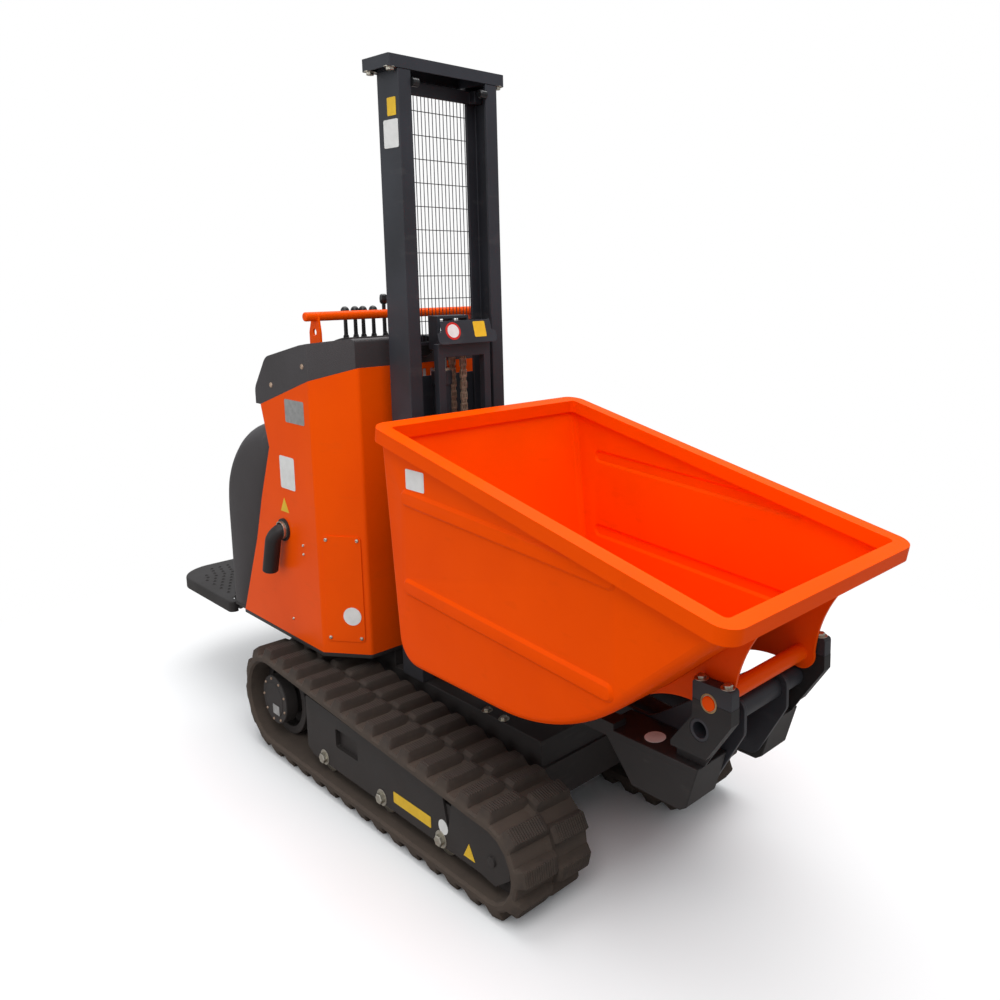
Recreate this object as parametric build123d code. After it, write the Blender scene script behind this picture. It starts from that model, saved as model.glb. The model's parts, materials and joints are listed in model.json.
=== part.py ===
from build123d import *

# A small tracked site dumper with a high-lift mast and a forward-tipping skip.
#
# Millimetres. X is sideways, with the machine's right at -X. Forward is -Y and up is +Z. The origin
# is on the ground under the middle of the whole machine.

import math
import os

# Running gear
TRACK_IN = 175
TRACK_OUT = 395
SPROCKET = (385, 168)
SPROCKET_R = 121
IDLER = (-675, 132)
IDLER_R = 85
BELT = 22
LUG_HEIGHT = 25
LUG_ROOT = 42
LUG_TIP = 34
LUGS = 36
LOOP_ROOM = 0.7
ROLLER_YS = (84, -212, -475)
ROLLER_Z = 88
ROLLER_R = 40.7
PLATE = 6
PLATE_IN = (TRACK_IN + 15, TRACK_IN + 15 + PLATE)
PLATE_OUT = (TRACK_OUT - 21 - PLATE, TRACK_OUT - 21)
TRACK_MIDDLE = (TRACK_IN + TRACK_OUT) / 2
DRUM_R = 60
WHEEL_GAP = 18

# Chassis
DECK_HALF = 150
DECK_LOW = 130
DECK_TOP = 300
DECK_FRONT = -590
DECK_REAR = 640
DECK_WALL = 10
COLUMN_FRONT = 60
FLOOR_LOW = 350
FLOOR_TOP = 362
HINGE_Y = 862
HINGE_Z = 318
HINGE_R = 8

# Mast
POST_OUT = 160
POST_IN = 120
POST_FRONT = -95
POST_REAR = 5
POST_WEB = 8
POST_FLANGE = 10
MAST_TOP = 2008
CAP_DEEP = 32
CAP_HALF = 186
CAP_FRONT = -96
CAP_REAR = 32
POST_TOP = MAST_TOP - CAP_DEEP
GUARD_LOW = 1250
GUARD_HALF = 155
LIFT_X = -18
LIFT_Y = -36
BARREL_R = 25
LIFT_ROD_R = 16
FIT = 0.05
PULLEY_X = 38
PULLEY_Z = 1290
CHAIN_R = 26
CHAIN_HALF = 10
CHAIN_THICK = 6
CHAIN_FOOT = 640
BARREL_TOP = 1180

# Carriage and arms
SIDE_IN = 90
SIDE_OUT = 112
ARM_IN = 145
ARM_OUT = 187
EAR_IN = 160
ARM_LOW = 432
ARM_HIGH = 466
ARM_WALL = 6
PLATE_FRONT = -140
CROSS_FRONT = -125
CROSS_REAR = -102
CARRIAGE_LOW = ARM_LOW - 2
CARRIAGE_HIGH = CHAIN_FOOT + 100
ROLLER_LOW = CARRIAGE_LOW + 40
ROLLER_HIGH = CARRIAGE_HIGH - 40
RUNNER_Y = -45
BACK_TOP = 1262
CENTRE_PLATE = (74, 84)

# Skip
PIVOT = (-1147, 605)
PIN_R = 17.5
PIN_STEP = 15
BUSH_R = 20.5
TUBE = (-1124, 540)
TUBE_R = 25
TUBE_BORE = 17
SHEET = 4
SKIP_HALF = 333
RIM_FRONT = (-1322, 850)
RIM_REAR = (-195, 1084)
RIM_WIDE = 38
RIM_DEEP = 35
RIM_HALF = 350
FLOOR_Z = 472
ARC_CENTRE = (-654, 1072)
ARC_R = 600
ARC_END = math.radians(39.6)
EAR_PLATE = (147, 155)

# Tip cylinder
TIP_FOOT = (-1040, 396)
TIP_EYE = (-480, 446)
TIP_BARREL_R = 24
TIP_ROD_R = 12.5
TIP_PIN_R = 15
TIP_BARREL = 400
LUG = (15, 25)

# Engine end
POD_FRONT = 55
POD_SLANT = 178
POD_NOSE = 228
POD_HALF = 312
POD_CORNER = 14
SHROUD_HALF = POD_HALF - 12
SHROUD_REAR = 835
SHROUD_WALL = 5
POD_TOP = ((POD_FRONT, 1196), (POD_SLANT, 1157), (478, 1064))
POD_BACK = ((439, 937), (510, 775), (565, 626))


def corner_arc(before, corner, after, radius):
    """Gives the two ends and the middle of the arc that rounds one corner."""
    to_before = Vector(*before) - Vector(*corner)
    to_after = Vector(*after) - Vector(*corner)
    to_before = to_before.normalized()
    to_after = to_after.normalized()
    half = math.radians(to_before.get_angle(to_after)) / 2
    cut = radius / math.tan(half)
    middle = (to_before + to_after).normalized() * (radius / math.sin(half) - radius)
    start = Vector(*corner) + to_before * cut
    end = Vector(*corner) + to_after * cut
    return start, Vector(*corner) + middle, end


def rounded(corners):
    """Makes a face from corners, each (u, v) or (u, v, radius)."""
    stops = []
    edges = []
    count = len(corners)
    for index, corner in enumerate(corners):
        before = corners[index - 1][:2]
        after = corners[(index + 1) % count][:2]
        if len(corner) == 3:
            start, middle, end = corner_arc(before, corner[:2], after, corner[2])
            edges.append(ThreePointArc(start, middle, end))
            stops.append((start, end))
        else:
            stops.append((Vector(*corner), Vector(*corner)))
    for index in range(count):
        leave = stops[index][1]
        arrive = stops[(index + 1) % count][0]
        if (arrive - leave).length > 0.01:
            edges.append(Line(leave, arrive))
    return make_face(edges)


def along_x(face, low, high):
    """Extrudes a (Y, Z) outline between two X."""
    return extrude(Plane.YZ.offset(low) * face, high - low, dir=(1, 0, 0))


def along_y(face, low, high):
    """Extrudes an (X, Z) outline between two Y."""
    return extrude(Plane.XZ.offset(-low) * face, high - low, dir=(0, 1, 0))


def along_z(face, low, high):
    """Extrudes an (X, Y) outline between two Z."""
    return extrude(Plane.XY.offset(low) * face, high - low, dir=(0, 0, 1))


def block(x_low, x_high, y_low, y_high, z_low, z_high):
    """A plain box by its limits."""
    size = (x_high - x_low, y_high - y_low, z_high - z_low)
    middle = ((x_low + x_high) / 2, (y_low + y_high) / 2, (z_low + z_high) / 2)
    return Pos(*middle) * Box(*size)


def shaft(place, radius, low, high):
    """A round bar along X about a (Y, Z) centre."""
    return along_x(Pos(*place) * Circle(radius), low, high)


def post(x, y, radius, low, high):
    """A round bar along Z about an (X, Y) centre."""
    return along_z(Pos(x, y) * Circle(radius), low, high)


def pair(shape):
    """A shape and its mirror image, as one."""
    return shape + mirror(shape, about=Plane.YZ)


# The belt's inside is a loop: the bottom run, the sprocket, the top run and the idler.
SPAN = math.dist(SPROCKET, IDLER)
LEAN = math.asin((SPROCKET_R - IDLER_R) / SPAN)
TILT = math.atan2(SPROCKET[1] - IDLER[1], SPROCKET[0] - IDLER[0])
TOP_NORMAL = math.pi / 2 + TILT + LEAN
LOW_NORMAL = -math.pi / 2 + TILT - LEAN
RUN = SPAN * math.cos(LEAN)


def loop_length(offset):
    """How long the loop is at an offset from the belt's inside."""
    round_sprocket = (SPROCKET_R + offset) * (TOP_NORMAL - LOW_NORMAL)
    round_idler = (IDLER_R + offset) * (2 * math.pi - TOP_NORMAL + LOW_NORMAL)
    return 2 * RUN + round_sprocket + round_idler


def loop_point(length, offset):
    """Gives the place and the normal's angle at a length round the loop."""
    length = length % loop_length(offset)
    sprocket_radius = SPROCKET_R + offset
    idler_radius = IDLER_R + offset
    sprocket_part = sprocket_radius * (TOP_NORMAL - LOW_NORMAL)
    if length < RUN:
        start = (
            IDLER[0] + idler_radius * math.cos(LOW_NORMAL),
            IDLER[1] + idler_radius * math.sin(LOW_NORMAL),
        )
        way = LOW_NORMAL + math.pi / 2
        place = (start[0] + length * math.cos(way), start[1] + length * math.sin(way))
        return place, LOW_NORMAL
    length -= RUN
    if length < sprocket_part:
        angle = LOW_NORMAL + length / sprocket_radius
        place = (
            SPROCKET[0] + sprocket_radius * math.cos(angle),
            SPROCKET[1] + sprocket_radius * math.sin(angle),
        )
        return place, angle
    length -= sprocket_part
    if length < RUN:
        start = (
            SPROCKET[0] + sprocket_radius * math.cos(TOP_NORMAL),
            SPROCKET[1] + sprocket_radius * math.sin(TOP_NORMAL),
        )
        way = TOP_NORMAL + math.pi / 2
        place = (start[0] + length * math.cos(way), start[1] + length * math.sin(way))
        return place, TOP_NORMAL
    length -= RUN
    angle = TOP_NORMAL + length / idler_radius
    place = (
        IDLER[0] + idler_radius * math.cos(angle),
        IDLER[1] + idler_radius * math.sin(angle),
    )
    return place, angle


def loop_inside(offset):
    """The loop's inner outline at an offset, as a face with straight facets on the wheels."""
    points = []
    steps = 18
    for centre, radius, first, last in (
        (SPROCKET, SPROCKET_R, LOW_NORMAL, TOP_NORMAL),
        (IDLER, IDLER_R, TOP_NORMAL, LOW_NORMAL + 2 * math.pi),
    ):
        for step in range(steps + 1):
            angle = first + (last - first) * step / steps
            y = centre[0] + (radius + offset) * math.cos(angle)
            z = centre[1] + (radius + offset) * math.sin(angle)
            points.append((y, z))
    return make_face(Polyline(*points, close=True))


def belt_outline(phase):
    """The belt's outside with one row of lugs, less its inside."""
    pitch = loop_length(BELT) / LUGS
    points = []
    for lug in range(LUGS):
        centre = (lug + phase) * pitch
        points.append(loop_point(centre - LUG_ROOT / 2, BELT)[0])
        for side in (-LUG_TIP / 2, LUG_TIP / 2):
            place, normal = loop_point(centre + side, BELT)
            y = place[0] + LUG_HEIGHT * math.cos(normal)
            z = place[1] + LUG_HEIGHT * math.sin(normal)
            points.append((y, z))
        points.append(loop_point(centre + LUG_ROOT / 2, BELT)[0])
        points.append(loop_point(centre + pitch / 2, BELT)[0])
    return make_face(Polyline(*points, close=True)) - loop_inside(0)


def track():
    """One rubber track at +X, with two staggered rows of lugs."""
    inner_row = along_x(belt_outline(0.25), TRACK_IN, TRACK_MIDDLE)
    outer_row = along_x(belt_outline(0.75), TRACK_MIDDLE, TRACK_OUT)
    return inner_row + outer_row


def track_frame():
    """The roller frame inside one track at +X."""
    outer = rounded(
        (
            (181, 97, 8),
            (181, 252, 8),
            (162, 252),
            (-308, 225),
            (-560, 217),
            (-736, 217),
            (-736, 112),
            (-683, 72),
            (-630, 80),
            (150, 80),
        )
    )
    outer -= make_face(Polyline((-480, 240), (-505, 133), (-530, 240), close=True))
    slot = rounded(((16, 206, 5), (16, 188, 5), (-96, 153, 5), (-96, 171, 5)))
    plate_out = along_x(outer - slot, *PLATE_OUT)
    inner = rounded(((470, 110, 20), (470, 225, 20), (-600, 200, 20), (-600, 66, 10), (380, 66, 10)))
    plate_in = along_x(inner, *PLATE_IN)
    beam = block(PLATE_IN[1], PLATE_OUT[0], -596, 160, 135, 195)
    flange = block(PLATE_OUT[0] - 60, PLATE_OUT[0], 165, 181, 105, 244)
    frame = plate_out + plate_in + beam + flange
    frame &= along_x(loop_inside(-3), TRACK_IN, TRACK_OUT)
    frame -= shaft(SPROCKET, DRUM_R, PLATE_IN[0] - 5, PLATE_IN[1] + 5)
    frame -= shaft(IDLER, IDLER_R + 3, PLATE_IN[0] - 5, PLATE_OUT[0])
    frame += shaft(IDLER, 22, PLATE_OUT[0] - WHEEL_GAP, PLATE_OUT[0])
    for y in ROLLER_YS:
        frame += shaft((y, ROLLER_Z + 8), 9, PLATE_OUT[1], PLATE_OUT[1] + 7)
    return frame


def drive_motor():
    """Sprocket and motor drum at +X, solid with its cover."""
    ring = shaft(SPROCKET, SPROCKET_R - LOOP_ROOM, TRACK_MIDDLE - 50, TRACK_MIDDLE + 50)
    ring -= shaft(SPROCKET, SPROCKET_R - 25, TRACK_MIDDLE + 15, TRACK_MIDDLE + 50)
    drum = shaft(SPROCKET, DRUM_R, PLATE_IN[0], TRACK_MIDDLE + 55)
    cover = shaft(SPROCKET, DRUM_R + 15, TRACK_MIDDLE + 49, PLATE_OUT[1] - 2)
    return ring + drum + cover


def idler():
    """The front wheel at +X."""
    outside = PLATE_OUT[0] - WHEEL_GAP
    wheel = shaft(IDLER, IDLER_R - LOOP_ROOM, PLATE_IN[1] + 19, outside)
    wheel -= shaft(IDLER, IDLER_R - 27, outside - 25, outside)
    wheel += shaft(IDLER, 30, outside - 30, outside)
    return wheel


def rollers():
    """Three bottom rollers at +X with their axles."""
    together = None
    for y in ROLLER_YS:
        centre = (y, ROLLER_Z)
        one = shaft(centre, ROLLER_R, PLATE_IN[1] + 9, PLATE_OUT[0] - 10)
        one += shaft(centre, 12, PLATE_IN[1], PLATE_OUT[0])
        together = one if together is None else together + one
    return together


def chassis():
    """Deck, column, floor plate, cross beams and the footboard's hinge brackets."""
    side = DECK_HALF - DECK_WALL
    front = DECK_FRONT + DECK_WALL
    rear = DECK_REAR - DECK_WALL
    under = DECK_TOP - DECK_WALL
    column_front = COLUMN_FRONT + DECK_WALL
    deck = block(-DECK_HALF, DECK_HALF, DECK_FRONT, DECK_REAR, DECK_LOW, DECK_TOP)
    deck -= block(-side, side, front, rear, DECK_LOW - 10, under)
    column = block(-DECK_HALF, DECK_HALF, COLUMN_FRONT, DECK_REAR, DECK_TOP, FLOOR_LOW)
    floor = pod_prism(0, FLOOR_LOW, FLOOR_TOP)
    floor &= block(-POD_HALF, POD_HALF, 0, 790, FLOOR_LOW, FLOOR_TOP)
    floor -= pair(block(SHROUD_HALF, POD_HALF + 8, 692, 800, FLOOR_LOW - 1, FLOOR_TOP + 1))
    whole = deck + column + floor
    whole -= block(-side, side, column_front, rear, under - 10, FLOOR_LOW)
    for y_low, y_high in ((DECK_FRONT + 5, DECK_FRONT + 75), (COLUMN_FRONT, COLUMN_FRONT + 70)):
        beam = block(-PLATE_IN[0], PLATE_IN[0], y_low, y_high, DECK_LOW - 5, DECK_LOW + 65)
        whole += beam - block(-side, side, y_low, y_high, DECK_LOW - 30, DECK_TOP)
    nose = TRACK_IN - 8
    whole += block(-nose, nose, DECK_FRONT - 10, DECK_FRONT, DECK_LOW, DECK_LOW + 100)
    whole += block(-5, 5, front, rear, DECK_LOW, under)
    whole += block(-5, 5, column_front, rear, under - 20, FLOOR_LOW)
    anchor_y = LIFT_Y + CHAIN_R
    whole += block(
        PULLEY_X - 12, PULLEY_X + 12, anchor_y - 6, anchor_y + 6, DECK_TOP, CHAIN_FOOT
    )
    outline = (
        (760, FLOOR_LOW),
        (790, FLOOR_LOW),
        (HINGE_Y + 13, 331, 10),
        (HINGE_Y + 13, 305, 12),
        (HINGE_Y - 14, 305, 12),
    )
    for x_low in (236, 256):
        ear = along_x(rounded(outline), x_low, x_low + 8)
        whole += pair(ear)
    whole += pair(shaft((HINGE_Y, HINGE_Z), HINGE_R, 232, 268))
    return whole


def engine_block():
    """The engine, its pump and its tank as one plain block."""
    return block(-170, 170, 120, 470, FLOOR_TOP, 760)


def pod_prism(inset, low, high):
    """The engine cover's plan as a prism, brought in all round by an inset."""
    across = POD_HALF - POD_NOSE
    back = POD_SLANT - POD_FRONT
    slant = math.hypot(across, back)
    nose = POD_NOSE - inset * (slant - across) / back
    corner = POD_SLANT + inset * (slant - back) / across
    half = POD_HALF - inset
    radius = POD_CORNER - inset
    plan = (
        (-nose, POD_FRONT + inset, radius),
        (nose, POD_FRONT + inset, radius),
        (half, corner, radius),
        (half, 900),
        (-half, 900),
        (-half, corner, radius),
    )
    return along_z(rounded(plan), low, high)


def pod_body():
    """Orange engine cover, open below and behind."""
    side = ((POD_FRONT, FLOOR_TOP),) + POD_TOP + POD_BACK + ((689, FLOOR_TOP),)
    side_face = make_face(Polyline(*side, close=True))
    wide = POD_HALF + 8
    outer = along_x(side_face, -wide, wide) & pod_prism(0, FLOOR_TOP, 1300)
    lower = tuple((y, z - SHEET) for y, z in POD_TOP)
    inside = ((0, 300), (0, 1209.4)) + lower + ((700, lower[2][1]), (700, 300))
    cut = along_x(make_face(Polyline(*inside, close=True)), -wide, wide)
    cut &= pod_prism(SHEET, 200, 1300)
    shell = outer - cut
    for column in range(8):
        x = -91 + 26 * column
        shell -= block(x - 6, x + 6, POD_FRONT - 5, POD_FRONT + 7, 1120, 1178)
    return shell


def console_cover():
    """The black cover over the engine, open below."""
    top = rounded(
        (
            (60, 1194.42),
            (60, 1278, 12),
            (217, 1255),
            (428, 1210, 60),
            (507, 1112, 40),
            (507, 1064),
            (478, 1064),
            (178, 1157),
        )
    )
    wide = POD_HALF + 8
    outer = along_x(top, -wide, wide) & pod_prism(0, 1000, 1400)
    lower = rounded(
        ((64, 1000), (64, 1272, 9), (217, 1250), (426, 1205, 56), (502, 1110, 36), (502, 1000))
    )
    inner = along_x(lower, -wide, wide) & pod_prism(5, 900, 1400)
    return outer - inner


def rear_shroud():
    """The black rear cover, open towards the engine."""
    rear = SHROUD_REAR - SHROUD_WALL
    side = rounded(
        (
            (445, 938),
            (509, 1010, 30),
            (685, 938, 90),
            (SHROUD_REAR, 780, 110),
            (SHROUD_REAR, FLOOR_TOP),
            (693, FLOOR_TOP),
            (569, 628),
            (514, 777),
        )
    )
    inside = rounded(
        (
            (400, 920),
            (509, 1005, 28),
            (682, 934, 86),
            (rear, 778, 106),
            (rear, 300),
            (400, 300),
        )
    )
    plan = rounded(
        (
            (-SHROUD_HALF, 300),
            (SHROUD_HALF, 300),
            (SHROUD_HALF, SHROUD_REAR, 60),
            (-SHROUD_HALF, SHROUD_REAR, 60),
        )
    )
    half = SHROUD_HALF - SHROUD_WALL
    plan_in = rounded(((-half, 290), (half, 290), (half, rear, 55), (-half, rear, 55)))
    outer = along_x(side, -SHROUD_HALF, SHROUD_HALF) & along_z(plan, 300, 1100)
    inner = along_x(inside, -half - 1, half + 1) & along_z(plan_in, 290, 1100)
    return outer - inner


def hatch_panel():
    """The plate on the cover's slanted front corner at +X."""
    across = POD_HALF - POD_NOSE
    back = POD_SLANT - POD_FRONT
    way = Vector(across, back, 0).normalized()
    out = Vector(back, -across, 0).normalized()
    middle = Vector(POD_NOSE + across / 2, POD_FRONT + back / 2, 557.5)
    plane = Plane(origin=middle, x_dir=way, z_dir=out)
    return extrude(plane * RectangleRounded(116, 315, 12), 3)


def exhaust():
    """The exhaust pipe: out of the cover's right side and bent down."""
    drop = Vector(0, 0.302, -0.953).normalized()
    place = (373, 694)
    bend_r = 33
    start = Vector(-POD_HALF, *place)
    centre = start + drop * bend_r
    end = centre + Vector(-bend_r, 0, 0)
    middle = centre + (Vector(-1, 0, 0) - drop).normalized() * bend_r
    bend = ThreePointArc(start, middle, end)
    tail = Line(end, end + drop * 100)
    ring = Plane(origin=start, z_dir=(-1, 0, 0)) * (Circle(22.5) - Circle(19.5))
    pipe = sweep(ring, path=Wire([bend, tail]))
    flange = along_x(Pos(*place) * (Circle(34) - Circle(19.5)), -POD_HALF - 6, -POD_HALF)
    return pipe + flange


def handlebar():
    """A cross bar on two plates that stand on the black cover."""
    bar = shaft((200, 1334), 13, -300, 300)
    bar = fillet(bar.edges(), 5)
    plate = rounded(
        (
            (176, 1240),
            (176, 1290, 20),
            (186, 1345, 12),
            (214, 1345, 12),
            (236, 1290, 20),
            (236, 1240),
        )
    )
    plate -= Pos(206, 1290) * Circle(10)
    plates = pair(along_x(plate, 262, 268))
    lid = rounded(((60, 1000), (60, 1278, 12), (217, 1255), (428, 1210, 60), (507, 1000)))
    plates -= along_x(lid, -320, 320)
    return bar + plates


def levers():
    """Six control levers on one valve plate."""
    lean = (1255 - 1210) / (217 - 428)
    low = 1255 + lean * (232 - 217)
    base = rounded(((232, low), (232, low + 16), (276, low + 16 + lean * 44), (276, low + lean * 44)))
    together = along_x(base, -172, 34)
    for x in (-146, -114, -88, -54):
        together += post(x, 252, 4, low, 1340)
        together += Pos(x, 252, 1344) * Sphere(13)
    for x in (-15, 10):
        together += post(x, 255, 5, low, 1370)
        together += post(x, 255, 12, 1362, 1391)
    return together


def mast_post():
    """One channel of the mast at +X, open towards the middle."""
    outer = block(POST_IN, POST_OUT, POST_FRONT, POST_REAR, DECK_TOP, POST_TOP)
    channel = block(
        POST_IN - 1,
        POST_OUT - POST_WEB,
        POST_FRONT + POST_FLANGE,
        POST_REAR - POST_FLANGE,
        DECK_TOP - 1,
        POST_TOP + 1,
    )
    return outer - channel


def mast_cap():
    """The folded cap over both posts."""
    front = CAP_FRONT + SHEET
    rear = CAP_REAR - SHEET
    outer = block(-CAP_HALF, CAP_HALF, CAP_FRONT, CAP_REAR, POST_TOP, MAST_TOP)
    outer = fillet(outer.edges().filter_by(Axis.Z), 5)
    outer -= block(
        SHEET - CAP_HALF, CAP_HALF - SHEET, front, rear, POST_TOP - 1, MAST_TOP - SHEET
    )
    rests = pair(block(POST_IN, POST_OUT, front, rear, POST_TOP, MAST_TOP - SHEET))
    return outer + rests


def mast_crossbar():
    """The flat bar between the posts below the cap."""
    inside = POST_OUT - POST_WEB
    rear = POST_REAR - POST_FLANGE
    low = POST_TOP - 46
    high = POST_TOP - 10
    bar = block(-inside, inside, rear - 12, rear, low, high)
    feet = pair(block(POST_IN + 4, inside, rear - 35, rear, low, high))
    return bar + feet


def mast_guard():
    """The guard behind the mast as a sheet with windows."""
    sheet = block(-GUARD_HALF, GUARD_HALF, POST_REAR, POST_REAR + 4, GUARD_LOW, POST_TOP)
    rows = 5
    frame = 10
    pitch = (POST_TOP - GUARD_LOW - frame) / rows
    for column in range(8):
        for row in range(rows):
            x = -105 + 30 * column
            z = GUARD_LOW + frame + pitch * row
            sheet -= block(
                x - 12, x + 12, POST_REAR - 5, POST_REAR + 15, z, z + pitch - frame
            )
    return sheet


def lift_cylinder():
    """The lift cylinder's barrel on the deck, bored for its rod."""
    barrel = post(LIFT_X, LIFT_Y, BARREL_R, DECK_TOP, BARREL_TOP)
    barrel += post(LIFT_X, LIFT_Y, BARREL_R + 4, BARREL_TOP - 40, BARREL_TOP)
    return barrel - post(LIFT_X, LIFT_Y, LIFT_ROD_R + FIT, DECK_TOP + 20, BARREL_TOP + 20)


def lift_rod():
    """The lift cylinder's rod up to the crosshead."""
    return post(LIFT_X, LIFT_Y, LIFT_ROD_R, DECK_TOP + 30, PULLEY_Z - 34)


def crosshead():
    """The yoke on top of the rod that carries the chain pulley."""
    front = LIFT_Y - 22
    rear = LIFT_Y + 22
    side = LIFT_X - 24
    near = PULLEY_X - 22
    far = PULLEY_X + 22
    low = PULLEY_Z - 50
    top = PULLEY_Z + 45
    foot = block(side, near, front, rear, low, PULLEY_Z)
    foot -= post(LIFT_X, LIFT_Y, LIFT_ROD_R, low - 40, PULLEY_Z - 34)
    cheeks = block(near - 8, near, front, rear, low, top)
    cheeks += block(far, far + 6, front, rear, PULLEY_Z - 28, top)
    bridge = block(side, far + 6, front, rear, top - 8, top)
    post_left = block(side, side + 8, front, rear, low, top)
    axle = shaft((LIFT_Y, PULLEY_Z), 8, near, far)
    return foot + cheeks + bridge + post_left + axle


def chain_pulley():
    """The pulley with the chain's bend over its top."""
    centre = (LIFT_Y, PULLEY_Z)
    inside = CHAIN_R - CHAIN_THICK / 2
    outside = CHAIN_R + CHAIN_THICK / 2
    wheel = shaft(centre, inside, PULLEY_X - 16, PULLEY_X + 16)
    wheel += shaft(centre, outside + 1, PULLEY_X - 16, PULLEY_X - 12)
    wheel += shaft(centre, outside + 1, PULLEY_X + 12, PULLEY_X + 16)
    wheel -= shaft(centre, 8, PULLEY_X - 18, PULLEY_X + 18)
    bend = Pos(*centre) * (Circle(outside) - Circle(inside))
    bend &= Pos(LIFT_Y, PULLEY_Z + 25) * Rectangle(80, 50)
    return wheel + along_x(bend, PULLEY_X - CHAIN_HALF, PULLEY_X + CHAIN_HALF)


def chain_run(y):
    """One straight run of the lift chain."""
    half = CHAIN_THICK / 2
    return block(
        PULLEY_X - CHAIN_HALF, PULLEY_X + CHAIN_HALF, y - half, y + half, CHAIN_FOOT, PULLEY_Z
    )


def carriage():
    """Side plates in the mast, cross members and the wide plate in front."""
    rear = RUNNER_Y + 20
    plate = rounded(
        (
            (CROSS_FRONT, CARRIAGE_LOW, 10),
            (CROSS_FRONT, CARRIAGE_HIGH, 10),
            (rear, CARRIAGE_HIGH, 20),
            (rear, CARRIAGE_LOW, 20),
        )
    )
    frame = pair(along_x(plate, SIDE_IN, SIDE_OUT))
    low_bar = CARRIAGE_LOW + 70
    high_bar = CARRIAGE_HIGH - 80
    for low, high in ((CARRIAGE_LOW, low_bar), (high_bar, CARRIAGE_HIGH)):
        frame += block(-SIDE_OUT, SIDE_OUT, CROSS_FRONT, CROSS_REAR, low, high)
    near = PULLEY_X - 12
    far = PULLEY_X + 12
    foot = CHAIN_FOOT - 22
    chain_rear = LIFT_Y - CHAIN_R + 6
    frame += block(near, far, CROSS_FRONT, chain_rear, foot, CHAIN_FOOT)
    frame += block(near, far, CROSS_FRONT, CROSS_REAR, foot, high_bar + 40)
    wide = rounded(
        (
            (-ARM_OUT, ARM_LOW - 7, 8),
            (-ARM_OUT, ARM_HIGH + 34, 20),
            (-SIDE_OUT + 2, ARM_HIGH + 74, 20),
            (SIDE_OUT - 2, ARM_HIGH + 74, 20),
            (ARM_OUT, ARM_HIGH + 34, 20),
            (ARM_OUT, ARM_LOW - 7, 8),
        )
    )
    frame += along_y(wide, PLATE_FRONT, CROSS_FRONT)
    for z in (ROLLER_LOW, ROLLER_HIGH):
        frame -= pair(shaft((RUNNER_Y, z), 15, SIDE_IN, SIDE_OUT))
    return frame


def carriage_rollers():
    """Four rollers that run in the posts, with their stub axles."""
    together = None
    for z in (ROLLER_LOW, ROLLER_HIGH):
        centre = (RUNNER_Y, z)
        one = shaft(centre, 38, POST_IN, POST_OUT - POST_WEB - 2)
        one += shaft(centre, 15, SIDE_IN, POST_IN)
        one = pair(one)
        together = one if together is None else together + one
    return together


def backrest():
    """Two upright bars over the carriage with a tie at the top."""
    low_bar = CARRIAGE_LOW + 70
    high_bar = CARRIAGE_HIGH - 80
    bars = pair(block(66, 88, CROSS_FRONT, CROSS_REAR, low_bar, high_bar))
    bars += pair(block(66, 88, CROSS_FRONT, CROSS_REAR, CARRIAGE_HIGH, BACK_TOP))
    bars += block(-66, 66, CROSS_FRONT, CROSS_REAR, BACK_TOP - 37, BACK_TOP)
    tie = (CARRIAGE_HIGH + BACK_TOP) / 2
    bars += block(-66, 66, CROSS_FRONT, CROSS_REAR - 8, tie - 21, tie + 19)
    return bars


def sign_plate():
    """The tilted plate on the backrest's top, with its bent foot."""
    face = rounded(
        (
            (-98, 0, 12),
            (98, 0, 12),
            (98, 30),
            (84, 36),
            (84, 65),
            (-84, 65),
            (-84, 36),
            (-98, 30),
        )
    )
    lean = Vector(0, 17, 63).normalized()
    foot = CROSS_FRONT - 20
    plane = Plane(origin=(0, foot, BACK_TOP), x_dir=(1, 0, 0), z_dir=Vector(1, 0, 0).cross(lean))
    sheet = extrude(plane * face, 3, dir=Vector(1, 0, 0).cross(lean))
    bracket = Polyline(
        (CROSS_FRONT, BACK_TOP),
        (CROSS_REAR, BACK_TOP),
        (CROSS_REAR - 20, BACK_TOP + 48),
        (foot + 17 / 63 * 48, BACK_TOP + 48),
        (foot + 17 / 63 * 8, BACK_TOP + 8),
        close=True,
    )
    legs = pair(along_x(make_face(bracket), 62, 66))
    return sheet + legs


def ear_outline():
    """The bearing ear's side outline up to the pin's height."""
    return rounded(
        (
            (-1204, PIVOT[1]),
            (-1204, 572, 6),
            (-1141, 480),
            (-1047, 480),
            (-1047, 492, 6),
            (-1105, 566, 8),
            (-1105, PIVOT[1]),
        )
    )


def arm():
    """One lift arm at +X: a square tube, a bent-plate box and the bearing ear."""
    rear = block(ARM_IN, ARM_OUT, -880, PLATE_FRONT, ARM_LOW, ARM_HIGH)
    inner = ARM_IN + ARM_WALL
    outer = ARM_OUT - ARM_WALL
    rear -= block(
        inner, outer, -874, PLATE_FRONT + 1, ARM_LOW + ARM_WALL, ARM_HIGH - ARM_WALL
    )
    side = rounded(((-1122, 450), (-1084, 393, 10), (-1070, 385), (-926, 385, 10), (-838, 450)))
    bent = rounded(((ARM_IN, 380), (ARM_IN, 450), (ARM_OUT, 450, 20), (ARM_OUT, 380)))
    bent -= rounded(((inner, 370), (inner, 444), (outer, 444, 20 - ARM_WALL), (outer, 370)))
    box = along_y(bent, -1130, -830) & along_x(side, ARM_IN, ARM_OUT)
    neck = make_face(Polyline((-1141, 480), (-1121, 449), (-1047, 449), (-1047, 480), close=True))
    ear = along_x(ear_outline(), EAR_IN, ARM_OUT)
    ear -= shaft(PIVOT, BUSH_R, EAR_IN - 1, ARM_OUT + 1)
    ear -= shaft(TUBE, TUBE_R, EAR_IN - 1, ARM_OUT + 1)
    return rear + box + along_x(neck, EAR_IN, ARM_OUT - 21) + ear


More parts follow.
